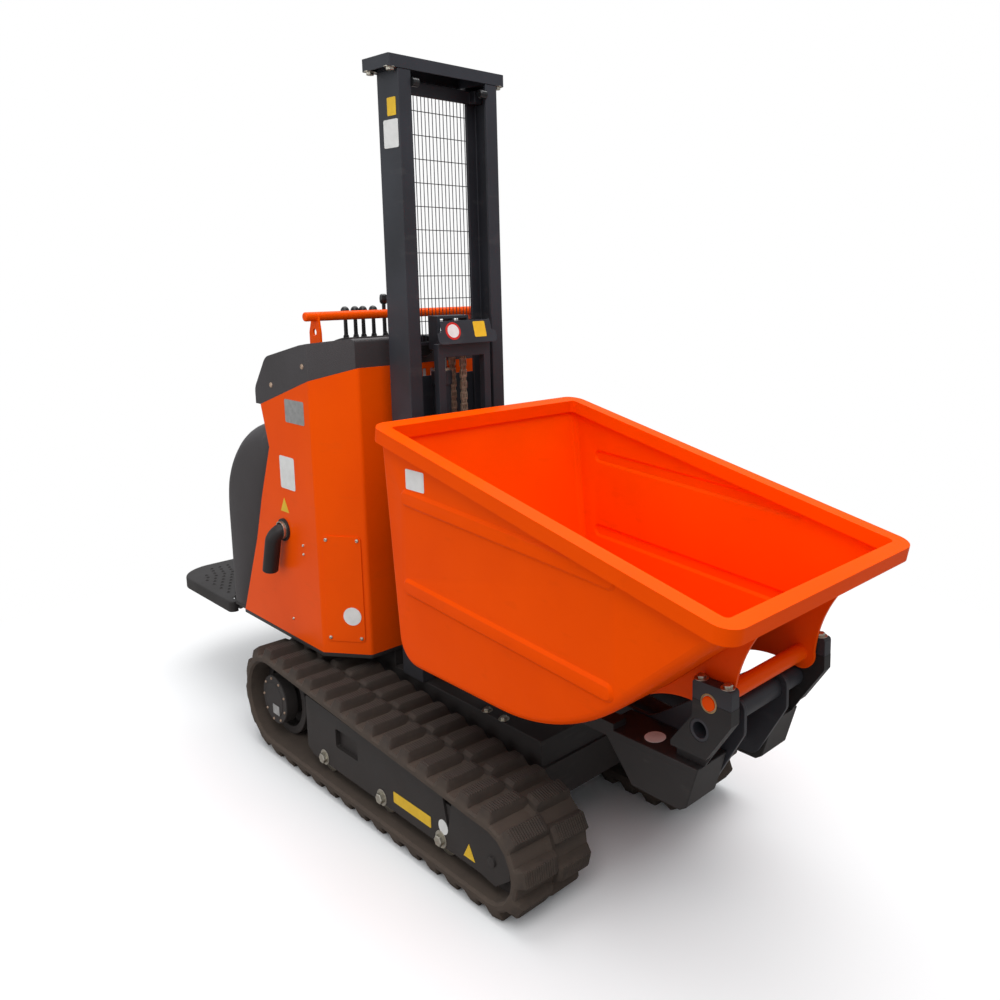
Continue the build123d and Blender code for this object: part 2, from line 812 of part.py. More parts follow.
def bearing_cap():
    """The bolted cap over one pivot bearing at +X."""
    side = rounded(((-1204, PIVOT[1]), (-1204, 646, 8), (-1105, 646, 8), (-1105, PIVOT[1])))
    cap = along_x(side, EAR_IN, ARM_OUT)
    cap -= shaft(PIVOT, BUSH_R, EAR_IN - 1, ARM_OUT + 1)
    for y in (-1185, -1118):
        cap += along_z(Pos((EAR_IN + ARM_OUT) / 2, y) * RegularPolygon(9, 6), 646, 652)
    return cap


def bushing():
    """The bearing's bushing at +X, a running fit on the pin."""
    return shaft(PIVOT, BUSH_R, EAR_IN, ARM_OUT) - shaft(PIVOT, PIN_R + FIT, EAR_IN - 1, ARM_OUT + 1)


def crosstube():
    """The open tube that ties both ears together."""
    return shaft(TUBE, TUBE_R, -ARM_OUT, ARM_OUT) - shaft(TUBE, TUBE_BORE, -ARM_OUT - 1, ARM_OUT + 1)


def centre_plates():
    """Two long plates from the carriage to the cross tube, with the tip cylinder's foot pin."""
    side = rounded(
        (
            (-1162, 575, 24),
            (-1162, 500, 24),
            (-1080, 358, 34),
            (-960, 358, 30),
            (-820, 392, 40),
            (PLATE_FRONT, 392),
            (PLATE_FRONT, 452),
            (-900, 452, 60),
            (-1085, 575, 24),
        )
    )
    side -= Pos(*TUBE) * Circle(TUBE_R)
    inside = CENTRE_PLATE[0]
    return pair(along_x(side, *CENTRE_PLATE)) + shaft(TIP_FOOT, TIP_PIN_R, -inside, inside)


def tip_line():
    """The tip cylinder's plane at its foot, its normal towards the eye, and its length."""
    foot = Vector(0, *TIP_FOOT)
    eye = Vector(0, *TIP_EYE)
    return Plane(origin=foot, x_dir=(1, 0, 0), z_dir=(eye - foot).normalized()), (eye - foot).length


def tip_barrel():
    """The tip cylinder's barrel on its foot pin, bored for the rod."""
    line = tip_line()[0]
    barrel = extrude(line * Circle(TIP_BARREL_R), TIP_BARREL)
    barrel += extrude(line.offset(TIP_BARREL - 28) * Circle(TIP_BARREL_R + 3), 28)
    barrel += shaft(TIP_FOOT, TIP_PIN_R + 9, -20, 20)
    barrel -= shaft(TIP_FOOT, TIP_PIN_R + FIT, -30, 30)
    return barrel - extrude(line.offset(50) * Circle(TIP_ROD_R + FIT), TIP_BARREL)


def tip_rod():
    """The tip cylinder's rod with its eye and the eye's pin."""
    line, length = tip_line()
    rod = extrude(line.offset(60) * Circle(TIP_ROD_R), length - 66)
    return rod + shaft(TIP_EYE, 16, -13, 13)


def skip_wall(inset, over):
    """The skip's side outline, brought in by an inset, its top raised over the rim's foot."""
    lean = Vector(-math.cos(ARC_END), math.sin(ARC_END))
    radius = ARC_R - inset
    floor = FLOOR_Z + inset
    foot = Vector(
        ARC_CENTRE[0] - radius * math.sin(ARC_END), ARC_CENTRE[1] - radius * math.cos(ARC_END)
    )
    along = Vector(RIM_REAR[0] - RIM_FRONT[0], RIM_REAR[1] - RIM_FRONT[1]).normalized()
    up = Vector(-along.Y, along.X)
    top = Vector(*RIM_FRONT) - up * (RIM_DEEP - SHEET - over)
    rear_way = Vector(44, 501).normalized()
    rear_foot = Vector(-254 - inset, 543)
    corner_y = rear_foot.X + rear_way.X / rear_way.Y * (floor - rear_foot.Y)
    front_top = foot + lean * ((top - foot).dot(up) / lean.dot(up))
    rear_top = rear_foot + rear_way * ((top - rear_foot).dot(up) / rear_way.dot(up))
    start, middle, end = corner_arc(
        (rear_foot.X, rear_foot.Y), (corner_y, floor), (ARC_CENTRE[0], floor), 80 - inset
    )
    half = ARC_END / 2
    arc_middle = Vector(
        ARC_CENTRE[0] - radius * math.sin(half), ARC_CENTRE[1] - radius * math.cos(half)
    )
    edges = [
        Line(rear_top, start),
        ThreePointArc(start, middle, end),
        Line(end, (ARC_CENTRE[0], floor)),
        ThreePointArc((ARC_CENTRE[0], floor), arc_middle, foot),
        Line(foot, front_top),
        Line(front_top, rear_top),
    ]
    return make_face(edges)


def rib_bar(start, end, half, inset):
    """A long rounded bar's outline between two (Y, Z) places."""
    way = (Vector(*end) - Vector(*start)).normalized()
    side = Vector(-way.Y, way.X) * (half - inset)
    first = Vector(*start) - way * (half - inset)
    last = Vector(*end) + way * (half - inset)
    corners = (first + side, first - side, last - side, last + side)
    return rounded(tuple((c.X, c.Y, half - inset - 0.5) for c in corners))


def skip_solid(inset, half, over, corner):
    """The skip's whole outside or inside as a solid, its long edges rounded."""
    solid = along_x(skip_wall(inset, over), -half, half)
    edges = [e for e in solid.edges() if abs(abs(e.center().X) - half) < 0.01]
    top = max(edges, key=lambda e: e.center().Z).center().Z
    long_edges = [e for e in edges if e.center().Z < top - 60]
    return fillet(long_edges, corner)


def skip_shell():
    """The skip: sheet walls with pressed ribs under a square-tube rim."""
    body = skip_solid(0, SKIP_HALF, 0, 22)
    ribs = (((-322, 914), (-1012, 870)), ((-318, 687), (-1004, 636)))
    for start, end in ribs:
        outside = Plane.YZ.offset(SKIP_HALF) * rib_bar(start, end, 22, 0)
        peak = Plane.YZ.offset(SKIP_HALF + 6) * rib_bar(start, end, 22, 8)
        body += pair(loft([outside, peak]))
    body -= skip_solid(SHEET, SKIP_HALF - SHEET, 10, 18)
    for start, end in ribs:
        inside = Plane.YZ.offset(SKIP_HALF - SHEET) * rib_bar(start, end, 20, 0)
        depth = Plane.YZ.offset(SKIP_HALF + 2) * rib_bar(start, end, 20, 8)
        body -= pair(loft([inside, depth]))
    length = math.dist(RIM_FRONT, RIM_REAR)
    up = Vector(0, RIM_FRONT[1] - RIM_REAR[1], RIM_REAR[0] - RIM_FRONT[0]).normalized()
    plane = Plane(origin=(0, *RIM_FRONT), x_dir=(1, 0, 0), z_dir=up)
    ring = Pos(0, length / 2) * RectangleRounded(2 * RIM_HALF, length, 45)
    hole_half = RIM_HALF - RIM_WIDE
    ring -= Pos(0, length / 2) * RectangleRounded(2 * hole_half, length - 2 * RIM_WIDE, 12)
    return body + extrude(plane * ring, RIM_DEEP, dir=up * -1)


def skip_brackets():
    """The skip's two pivot ears with the tube between them, and the rod's lugs."""
    ear = make_face(
        [
            ThreePointArc((-1262, 790), (-1208, 706), (-1184, 613)),
            ThreePointArc((-1184, 613), (-1176, 580), (-1138, 568)),
            ThreePointArc((-1138, 568), (-1050, 576), (-960, 551)),
            Line((-960, 551), (-960, 640)),
            Line((-960, 640), (-1225, 815)),
            Line((-1225, 815), (-1262, 790)),
        ]
    )
    inside, outside = EAR_PLATE
    ears = along_x(ear, inside, outside) - shaft(PIVOT, PIN_STEP, inside - 1, outside + 1)
    tube = shaft(PIVOT, PIN_STEP + 4, -inside, inside)
    tube -= shaft(PIVOT, PIN_STEP, -outside, outside)
    y, z = TIP_EYE
    lug = make_face(Polyline((y - 18, z), (y - 50, 500), (y + 50, 500), (y + 18, z), close=True))
    lug += Pos(*TIP_EYE) * Circle(18)
    lugs = pair(along_x(lug, *LUG))
    return pair(ears) + tube + lugs - skip_solid(0, SKIP_HALF, 0, 22)


def skip_pins():
    """The two pivot pins, stepped down where they sit in the ears and the tube."""
    inside, outside = EAR_PLATE
    big = shaft(PIVOT, PIN_R, outside, ARM_OUT - 1)
    return pair(big + shaft(PIVOT, PIN_STEP, inside - 9, outside))


def footboard():
    """The rider's platform as a folded pan, open below, with hinge tongues."""
    plan = rounded(((-295, 846, 20), (295, 846, 20), (295, 1321, 120), (-295, 1321, 120)))
    inner = rounded(((-291, 850, 16), (291, 850, 16), (291, 1317, 116), (-291, 1317, 116)))
    pan = along_z(plan, 300, 338)
    pan = fillet(pan.faces().sort_by(Axis.Z)[-1].edges(), 6)
    pan -= along_z(inner, 290, 334)
    pan -= pair(block(231, 269, 840, 892, 290, 340))
    tongue = rounded(
        ((848, 304, 12), (848, 332, 12), (893, 332), (893, 334), (910, 334), (910, 304))
    )
    tongues = pair(along_x(tongue, 246, 254))
    tongues -= pair(shaft((HINGE_Y, HINGE_Z), HINGE_R + FIT, 240, 260))
    return pan + tongues


def both(shape):
    """A piece at +X and its mirror image at -X, by side."""
    return {"l": shape, "r": mirror(shape, about=Plane.YZ)}


def pieces():
    """Every piece by name."""
    made = {
        "chassis": chassis(),
        "idlers": pair(idler()),
        "track_rollers": pair(rollers()),
        "engine_block": engine_block(),
        "pod_body": pod_body(),
        "console_cover": console_cover(),
        "rear_shroud": rear_shroud(),
        "hatch_panels": pair(hatch_panel()),
        "exhaust": exhaust(),
        "handlebar": handlebar(),
        "levers": levers(),
        "mast_cap": mast_cap(),
        "mast_crossbar": mast_crossbar(),
        "mast_guard": mast_guard(),
        "lift_cylinder": lift_cylinder(),
        "lift_rod": lift_rod(),
        "crosshead": crosshead(),
        "chain_pulley": chain_pulley(),
        "chain_front": chain_run(LIFT_Y - CHAIN_R),
        "chain_rear": chain_run(LIFT_Y + CHAIN_R),
        "carriage": carriage(),
        "carriage_rollers": carriage_rollers(),
        "backrest": backrest(),
        "sign_plate": sign_plate(),
        "bearing_caps": pair(bearing_cap()),
        "bushings": pair(bushing()),
        "crosstube": crosstube(),
        "centre_plates": centre_plates(),
        "tip_barrel": tip_barrel(),
        "tip_rod": tip_rod(),
        "skip_shell": skip_shell(),
        "skip_brackets": skip_brackets(),
        "skip_pins": skip_pins(),
        "footboard": footboard(),
    }
    sided = {
        "track": both(track()),
        "track_frame": both(track_frame()),
        "drive_motor": both(drive_motor()),
        "mast_post": both(mast_post()),
        "arm": both(arm()),
    }
    for name, sides in sided.items():
        for side, shape in sides.items():
            made[name + "_" + side] = shape
    return made


def main():
    """Builds every piece and writes one STEP file each."""
    os.makedirs("parts", exist_ok=True)
    for name, shape in pieces().items():
        export_step(shape, os.path.join("parts", name + ".step"))
        print(name, round(shape.volume / 1000), "cm3")


if __name__ == "__main__":
    main()
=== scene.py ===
import json
import logging
import math
from dataclasses import dataclass
from enum import Enum
from functools import cache

import bmesh
import bpy
import numpy as np
from mathutils import Matrix

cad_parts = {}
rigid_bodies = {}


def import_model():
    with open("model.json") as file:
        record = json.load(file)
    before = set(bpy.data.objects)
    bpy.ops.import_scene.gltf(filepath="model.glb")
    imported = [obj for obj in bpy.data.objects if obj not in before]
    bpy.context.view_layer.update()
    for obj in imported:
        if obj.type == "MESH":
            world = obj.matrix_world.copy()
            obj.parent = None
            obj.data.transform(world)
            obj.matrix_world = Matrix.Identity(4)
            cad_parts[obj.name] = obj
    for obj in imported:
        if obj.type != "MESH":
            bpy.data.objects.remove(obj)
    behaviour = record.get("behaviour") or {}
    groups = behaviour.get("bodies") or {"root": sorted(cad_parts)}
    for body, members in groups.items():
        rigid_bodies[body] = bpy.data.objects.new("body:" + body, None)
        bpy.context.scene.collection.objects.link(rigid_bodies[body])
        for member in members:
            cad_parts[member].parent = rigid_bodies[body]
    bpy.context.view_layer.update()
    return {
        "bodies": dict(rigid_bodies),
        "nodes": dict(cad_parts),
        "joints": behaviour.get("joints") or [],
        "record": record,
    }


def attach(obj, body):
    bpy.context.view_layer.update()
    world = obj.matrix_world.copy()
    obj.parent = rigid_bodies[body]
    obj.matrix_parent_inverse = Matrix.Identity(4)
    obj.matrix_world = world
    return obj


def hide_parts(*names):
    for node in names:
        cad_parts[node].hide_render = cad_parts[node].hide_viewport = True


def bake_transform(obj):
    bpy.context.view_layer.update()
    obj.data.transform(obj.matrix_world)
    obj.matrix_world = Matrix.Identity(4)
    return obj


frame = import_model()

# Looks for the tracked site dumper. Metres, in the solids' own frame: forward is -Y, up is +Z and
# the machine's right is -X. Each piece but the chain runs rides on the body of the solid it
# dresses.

LOG = logging.getLogger("dumper")
MERGE = 1e-5  # points closer than this become one
SKIN = 0.0002  # a sticker's back stands this far off its surface
CARD = 0.0006  # a sticker's thickness
ORIGIN = (0.0, 0.0, 0.0)
SIDE = ((0, -1, 0), (0, 0, 1))  # along and up the machine's right side
Colour = tuple[float, float, float]


# ---------------------------------------------------------------- finishes


class Term:
    """A number inside a shader, with arithmetic that adds the Math nodes it needs."""

    def __init__(self, recipe: "Recipe", socket: bpy.types.NodeSocket) -> None:
        """Keeps the output that holds the number, and its recipe."""
        self.recipe = recipe
        self.socket = socket

    def reckon(self, operation: str, *values: object) -> "Term":
        """The result of one Math node on these values or links."""
        return self.recipe.term("ShaderNodeMath", {"operation": operation}, dict(enumerate(values)))

    def __add__(self, other: object) -> "Term":
        """This plus other."""
        return self.reckon("ADD", self, other)

    def __radd__(self, other: object) -> "Term":
        """Other plus this."""
        return self.reckon("ADD", other, self)

    def __sub__(self, other: object) -> "Term":
        """This minus other."""
        return self.reckon("SUBTRACT", self, other)

    def __rsub__(self, other: object) -> "Term":
        """Other minus this."""
        return self.reckon("SUBTRACT", other, self)

    def __mul__(self, other: object) -> "Term":
        """This times other."""
        return self.reckon("MULTIPLY", self, other)

    def __rmul__(self, other: object) -> "Term":
        """Other times this."""
        return self.reckon("MULTIPLY", other, self)

    def __truediv__(self, other: object) -> "Term":
        """This over other."""
        return self.reckon("DIVIDE", self, other)

    def held(self) -> "Term":
        """This, held between 0 and 1."""
        return self.reckon("MINIMUM", self.reckon("MAXIMUM", self, 0.0), 1.0)

    def past(self, edge: float, gain: float) -> "Term":
        """Nothing up to the edge, then rising by the gain, up to 1."""
        return ((self - edge) * gain).held()


class Recipe:
    """The nodes of one material, or of the world."""

    def __init__(self, owner: bpy.types.Material | bpy.types.World) -> None:
        """Starts an empty node tree on its owner.

        Args:
            owner: the material or the world.
        """
        owner.use_nodes = True
        self.owner = owner
        self.tree = owner.node_tree
        self.tree.nodes.clear()

    def node(self, kind: str, settings: dict, values: dict) -> bpy.types.Node:
        """Adds one node.

        Args:
            kind: the node's type.
            settings: its own settings, set first.
            values: values, links or nodes for its sockets, by name or number.

        Returns:
            The new node.
        """
        made = self.tree.nodes.new(kind)
        for key, value in settings.items():
            setattr(made, key, value)
        for key, value in values.items():
            if isinstance(value, Term):
                value = value.socket
            elif isinstance(value, bpy.types.Node):
                value = value.outputs[0]
            if isinstance(value, bpy.types.NodeSocket):
                self.tree.links.new(value, made.inputs[key])
            else:
                made.inputs[key].default_value = value
        return made

    def term(self, kind: str, settings: dict, values: dict, output: int | str = 0) -> Term:
        """Adds one node and gives one of its outputs as a number."""
        return Term(self, self.node(kind, settings, values).outputs[output])

    def noise(self, place: object, scale: float, detail: float) -> Term:
        """A soft random field from about 0.2 to 0.8, with this many lumps a metre."""
        return self.term(
            "ShaderNodeTexNoise", {}, {"Vector": place, "Scale": scale, "Detail": detail}
        )

    def blend(self, share: Term, first: object, second: object) -> bpy.types.NodeSocket:
        """Mixes two colours or links by the share of the second."""
        values = {0: share, 6: _rgba(first), 7: _rgba(second)}
        return self.node("ShaderNodeMix", {"data_type": "RGBA"}, values).outputs[2]


def _rgba(colour: object) -> object:
    """A plain colour with its alpha, or a link as it is."""
    return (*colour, 1.0) if isinstance(colour, tuple) else colour


@dataclass(frozen=True)
class Coating:
    """A paint, plastic, rubber or metal, and how it varies over a surface.

    Mottle and grain are in lumps a metre, and depths, ribs and dust_top in metres.
    """

    colour: Colour
    shade: Colour
    rough: float
    rough_swing: float
    metallic: float = 0.0
    coat: float = 0.0
    specular: float = 0.3
    mottle: float = 5.0
    grain: float = 300.0
    grain_depth: float = 0.00004
    ripple: float = 0.0
    ribs: float = 0.0
    dust: float = 0.0
    dust_top: float = 0.5
    dust_colour: Colour = (0.30, 0.25, 0.19)
    scuff: float = 0.0
    scuff_colour: Colour = (0.25, 0.24, 0.22)

    def make(self, name: str) -> bpy.types.Material:
        """Builds the material: mottled colour, ribs, scuffs, low dust, and grain in its bump.

        Args:
            name: the material's name.

        Returns:
            The material.
        """
        recipe = Recipe(bpy.data.materials.new(name))
        place = recipe.node("ShaderNodeTexCoord", {}, {}).outputs["Object"]
        patches = recipe.noise(place, self.mottle, 4.0)
        height = recipe.noise(place, self.grain, 2.0)
        colour = recipe.blend(patches.past(0.35, 3.0), self.colour, self.shade)
        rough = patches * self.rough_swing + (self.rough - self.rough_swing / 2)
        if self.ripple:
            height = height + recipe.noise(place, self.mottle * 3, 1.0) * self.ripple
        if self.ribs:
            flat = recipe.node("ShaderNodeUVMap", {"uv_map": "tread"}, {})
            spread = recipe.node("ShaderNodeSeparateXYZ", {}, {0: flat}).outputs
            across, rise = Term(recipe, spread[0]), Term(recipe, spread[1])
            turns = across * (2 * math.pi / self.ribs)
            height = height + turns.reckon("SINE", turns) * rise.past(0.85, 8.0) * 2.6
            valley = ((0.5 - rise) * 2.0).held() * patches * 1.2
            colour = recipe.blend(valley.held(), colour, self.dust_colour)
        if self.scuff:
            streak = {0: place, 1: (9.0, 9.0, 60.0)}
            drawn = recipe.node("ShaderNodeVectorMath", {"operation": "MULTIPLY"}, streak)
            marks = recipe.noise(drawn, 1.0, 6.0) * recipe.noise(place, 14.0, 3.0)
            worn = marks.past(0.335, 14.0) * self.scuff
            colour = recipe.blend(worn, colour, self.scuff_colour)
            rough = rough + worn * 0.2
        if self.dust:
            above = recipe.term("ShaderNodeSeparateXYZ", {}, {0: place}, 2)
            low = (1.0 - above / self.dust_top).held()
            lying = (low * (patches + recipe.noise(place, 60.0, 4.0)) * self.dust).held()
            colour = recipe.blend(lying, colour, self.dust_colour)
            rough = (rough + lying * 0.35).held()
        grained = {"Strength": 1.0, "Distance": self.grain_depth, "Height": height}
        values = {
            "Base Color": colour,
            "Roughness": rough,
            "Metallic": self.metallic,
            "Coat Weight": self.coat,
            "Coat Roughness": 0.12,
            "Specular IOR Level": self.specular,
            "Normal": recipe.node("ShaderNodeBump", {}, grained),
        }
        shader = recipe.node("ShaderNodeBsdfPrincipled", {}, values)
        recipe.node("ShaderNodeOutputMaterial", {}, {0: shader})
        return recipe.owner


class Finish(Enum):
    """The machine's finishes."""

    ORANGE = Coating((0.90, 0.086, 0.0), (0.86, 0.078, 0.0), 0.30, 0.10, specular=0.06,
                     dust=0.08, dust_top=0.9, dust_colour=(0.55, 0.10, 0.02), scuff=0.08,
                     scuff_colour=(0.60, 0.08, 0.01))
    SKIP = Coating((0.92, 0.080, 0.0), (0.88, 0.073, 0.0), 0.32, 0.10, specular=0.025,
                   grain=450.0, grain_depth=0.00012, ripple=1.5, scuff=0.10,
                   scuff_colour=(0.60, 0.055, 0.002))
    BLACK = Coating((0.030, 0.032, 0.040), (0.020, 0.021, 0.026), 0.44, 0.2, specular=0.35,
                    dust=0.25, dust_top=0.8, dust_colour=(0.070, 0.060, 0.054), scuff=0.2,
                    scuff_colour=(0.07, 0.07, 0.07))
    # A darker copy of the black paint for the low parts and the arm boxes: the darker colour is
    # painted shade, while its dust and scuffs are dirt and wear.
    LOW_BLACK = Coating((0.020, 0.018, 0.018), (0.013, 0.012, 0.012), 0.5, 0.2, dust=0.5,
                        dust_colour=(0.062, 0.050, 0.044), scuff=0.3,
                        scuff_colour=(0.06, 0.055, 0.052))
    PLASTIC = Coating((0.046, 0.040, 0.042), (0.034, 0.029, 0.030), 0.50, 0.1, specular=0.45,
                      grain=420.0, grain_depth=0.0008, mottle=3.0, dust=0.15, dust_top=1.6,
                      dust_colour=(0.08, 0.07, 0.068))
    RUBBER = Coating((0.026, 0.020, 0.018), (0.011, 0.008, 0.007), 0.70, 0.15, mottle=22.0,
                     grain=500.0, grain_depth=0.0004, dust=0.8, dust_top=0.7,
                     dust_colour=(0.080, 0.060, 0.047), ribs=0.0065)
    KNOB = Coating((0.010, 0.010, 0.011), (0.015, 0.015, 0.015), 0.28, 0.1, coat=0.2)
    ZINC = Coating((0.58, 0.55, 0.47), (0.42, 0.39, 0.33), 0.38, 0.25, 1.0, mottle=70.0,
                   grain=600.0)
    CHROME = Coating((0.78, 0.79, 0.80), (0.70, 0.71, 0.72), 0.12, 0.06, 1.0, mottle=9.0)
    CHAIN = Coating((0.46, 0.33, 0.24), (0.25, 0.17, 0.12), 0.45, 0.2, 0.3, mottle=60.0)
    BRONZE = Coating((0.50, 0.36, 0.17), (0.36, 0.25, 0.12), 0.38, 0.2, 0.7, mottle=80.0)
    BOOT = Coating((0.012, 0.012, 0.013), (0.018, 0.017, 0.017), 0.6, 0.1, grain=700.0)
    BLOCK = Coating((0.07, 0.07, 0.075), (0.05, 0.05, 0.055), 0.55, 0.2)
    WHITE = Coating((0.78, 0.78, 0.76), (0.70, 0.70, 0.68), 0.35, 0.15, mottle=40.0)
    YELLOW = Coating((0.83, 0.52, 0.02), (0.74, 0.45, 0.02), 0.35, 0.12, mottle=40.0)
    RED = Coating((0.62, 0.02, 0.015), (0.52, 0.02, 0.012), 0.35, 0.12, mottle=40.0)
    PLATE = Coating((0.50, 0.50, 0.49), (0.38, 0.38, 0.37), 0.35, 0.2, 0.6, mottle=60.0)
    # Near-black: painted shade for the hollows inside the footboard's rings.
    DARK = Coating((0.006, 0.006, 0.006), (0.008, 0.008, 0.008), 0.9, 0.05)

    @cache
    def material(self) -> bpy.types.Material:
        """The finish's material, built at its first use."""
        return self.value.make(self.name.lower())


# ---------------------------------------------------------------- surfaces


@dataclass
class Surface:
    """Points and faces of one or more sheets.

    Args:
        points: an (n, 3) array.
        faces: the corner numbers of each face.
    """

    points: np.ndarray
    faces: list

    def __add__(self, other: "Surface") -> "Surface":
        """Both surfaces as one."""
        moved = [tuple(c + len(self.points) for c in face) for face in other.faces]
        return Surface(np.vstack([self.points, other.points]), self.faces + moved)

    def moved(self, offsets: object) -> "Surface":
        """Copies of this surface, one at each offset.

        Args:
            offsets: one or more (X, Y, Z) offsets.

        Returns:
            All the copies as one surface.
        """
        offsets = np.asarray(offsets, float).reshape(-1, 3)
        points = (self.points[None] + offsets[:, None]).reshape(-1, 3)
        size = len(self.points)
        faces = [tuple(c + size * k for c in f) for k in range(len(offsets)) for f in self.faces]
        return Surface(points, faces)

    def image(self) -> "Surface":
        """Its mirror image across X = 0, with the faces' corners left in order."""
        return Surface(self.points * (-1.0, 1.0, 1.0), self.faces)

    def mirrored(self) -> "Surface":
        """This surface and its mirror image across X = 0."""
        return self + Surface(self.image().points, [face[::-1] for face in self.faces])


def grid(
    points: np.ndarray, wrap_u: bool = False, wrap_v: bool = False, caps: bool = False
) -> Surface:
    """A sheet of quads over a grid of points.

    Args:
        points: an (m, n, 3) array, u first.
        wrap_u: whether the last row joins the first.
        wrap_v: whether the last column joins the first.
        caps: whether the first and last rows are closed by a face each.

    Returns:
        The surface.
    """
    rows, columns = points.shape[:2]
    numbers = np.arange(rows * columns).reshape(rows, columns)
    if wrap_u:
        numbers = np.vstack([numbers, numbers[:1]])
    if wrap_v:
        numbers = np.hstack([numbers, numbers[:, :1]])
    quads = np.stack([numbers[:-1, :-1], numbers[1:, :-1], numbers[1:, 1:], numbers[:-1, 1:]], -1)
    faces = [tuple(q) for q in quads.reshape(-1, 4).tolist()]
    if caps:
        ends = numbers[:, :columns].tolist()
        faces += [tuple(ends[0]), tuple(ends[-1][::-1])]
    return Surface(points.reshape(-1, 3), faces)


def place_on(axis: str, along: np.ndarray, first: np.ndarray, second: np.ndarray) -> np.ndarray:
    """Points from places along an axis and on the two others, taken in X, Y, Z order."""
    parts = {"x": (along, first, second), "y": (first, along, second), "z": (first, second, along)}
    return np.stack(np.broadcast_arrays(*parts[axis]), -1)


def circle(radius: float, steps: int = 32) -> np.ndarray:
    """A round outline."""
    angle = np.linspace(0, 2 * math.pi, steps, endpoint=False)
    return np.stack([radius * np.cos(angle), radius * np.sin(angle)], -1)


def corner_ring(wide: float, deep: float, radius: float, steps: int = 4) -> np.ndarray:
    """A rectangle's outline with round corners: each corner is a quarter of a circle.

    Args:
        wide: half its first size.
        deep: half its second size.
        radius: the corners' radius.
        steps: facets in each corner.

    Returns:
        An (n, 2) array, anticlockwise.
    """
    angle = np.linspace(0, math.pi / 2, steps + 1)
    turn = np.concatenate([angle + k * math.pi / 2 for k in range(4)])
    u = np.repeat([1, -1, -1, 1], steps + 1) * (wide - radius) + radius * np.cos(turn)
    v = np.repeat([1, 1, -1, -1], steps + 1) * (deep - radius) + radius * np.sin(turn)
    return np.stack([u, v], -1)


def card(wide: float, tall: float) -> np.ndarray:
    """A sticker's outline: a rectangle with small round corners."""
    return corner_ring(wide / 2, tall / 2, min(wide, tall) * 0.08)


def triangle(side: float) -> np.ndarray:
    """An equal-sided triangle's outline with its point up."""
    high = side * math.sqrt(3) / 2
    return np.array([(-side / 2, -high / 3), (side / 2, -high / 3), (0, high * 2 / 3)])


def turned(profile: list, axis: str, centre: tuple, steps: int) -> Surface:
    """A profile turned round an axis: point (a, r) becomes (a, r cos t, r sin t).

    Args:
        profile: (distance along the axis, radius) pairs.
        axis: x, y or z.
        centre: the axis's place, where the distance is 0.
        steps: how many sides the round has.

    Returns:
        The surface, closed if the profile starts and ends at radius 0 or joins itself.
    """
    shape, ring = np.asarray(profile, float), circle(1.0, steps)
    points = place_on(axis, shape[:, :1], shape[:, 1:] * ring[:, 0], shape[:, 1:] * ring[:, 1])
    return grid(points + np.asarray(centre, float), wrap_v=True)


def prism(outline: np.ndarray, axis: str, low: float, high: float) -> Surface:
    """A flat outline carried straight between two places on an axis."""
    along = np.array([low, high])[:, None]
    return grid(place_on(axis, along, *outline.T[:, None]), wrap_v=True, caps=True)


def rounded_box(low: tuple, high: tuple, radius: float, axis: str, steps: int = 4) -> Surface:
    """A bar whose section is a rectangle with round corners, carried straight along an axis.

    Args:
        low: its lowest corner.
        high: its highest corner.
        radius: its section's corner radius.
        axis: the axis that it runs along.
        steps: facets in each corner.

    Returns:
        The closed surface.
    """
    order = {"x": [0, 1, 2], "y": [1, 0, 2], "z": [2, 0, 1]}[axis]
    first, last = np.array(low)[order], np.array(high)[order]
    section = corner_ring(*(last - first)[1:] / 2, radius, steps) + (last + first)[1:] / 2
    return prism(section, axis, first[0], last[0])


def carried(section: np.ndarray, path: np.ndarray, up: tuple) -> Surface:
    """A section carried along an open path, kept square to it.

    At each point the side vector is up cross tangent, and a section point (a, b) goes to
    path + a * side + b * (tangent cross side).

    Args:
        section: a (k, 2) array.
        path: an (n, 3) array.
        up: a vector that the path never points along.

    Returns:
        The closed surface.
    """
    tangent = np.gradient(path, axis=0)
    tangent /= np.linalg.norm(tangent, axis=1, keepdims=True)
    side = np.cross(np.asarray(up, float), tangent)
    side /= np.linalg.norm(side, axis=1, keepdims=True)
    across = section[None, :, :1] * side[:, None]
    over = section[None, :, 1:] * np.cross(tangent, side)[:, None]
    return grid(path[:, None] + across + over, wrap_v=True, caps=True)


def evenly(path: np.ndarray, count: int) -> np.ndarray:
    """Points spaced evenly along a path, found by the length up to each of its corners.

    Args:
        path: an (n, 2) array.
        count: how many points.

    Returns:
        A (count, 2) array.
    """
    steps = np.concatenate([[0.0], np.cumsum(np.hypot(*np.diff(path, axis=0).T))])
    at = np.linspace(0, 1, count) * steps[-1]
    return np.column_stack([np.interp(at, steps, path[:, k]) for k in (0, 1)])


def bolts(seats: list, axis: str, way: int, across: float) -> Surface:
    """Hexagon heads with a chamfer, each turned with six sides on a round washer.

    Args:
        seats: the middle of each one's seat.
        axis: the axis that they point along.
        way: 1 or -1, which way along the axis.
        across: a head's size over its corners.

    Returns:
        The surface.
    """
    r = across / 2
    washer = [(0, 0), (0, r * 1.5), (0.0016, r * 1.5), (0.0016, 0)]
    head = [(0.001, 0), (0.001, r), (r * 0.7, r), (r * 0.82, r * 0.85), (r * 0.82, 0)]
    both = turned([(a * way, b) for a, b in washer], axis, ORIGIN, 18)
    both += turned([(a * way, b) for a, b in head], axis, ORIGIN, 6)
    return both.moved(seats)


def screws(seats: list, axis: str, way: int, r: float) -> Surface:
    """Low round screw heads of radius r, each with a dimple in its middle."""
    profile = [(0, 0), (0, r), (0.002, r * 0.9), (0.0035, r * 0.5), (0.002, 0.3 * r), (0.002, 0)]
    return turned([(a * way, b) for a, b in profile], axis, ORIGIN, 14).moved(seats)


# ---------------------------------------------------------------- workshop


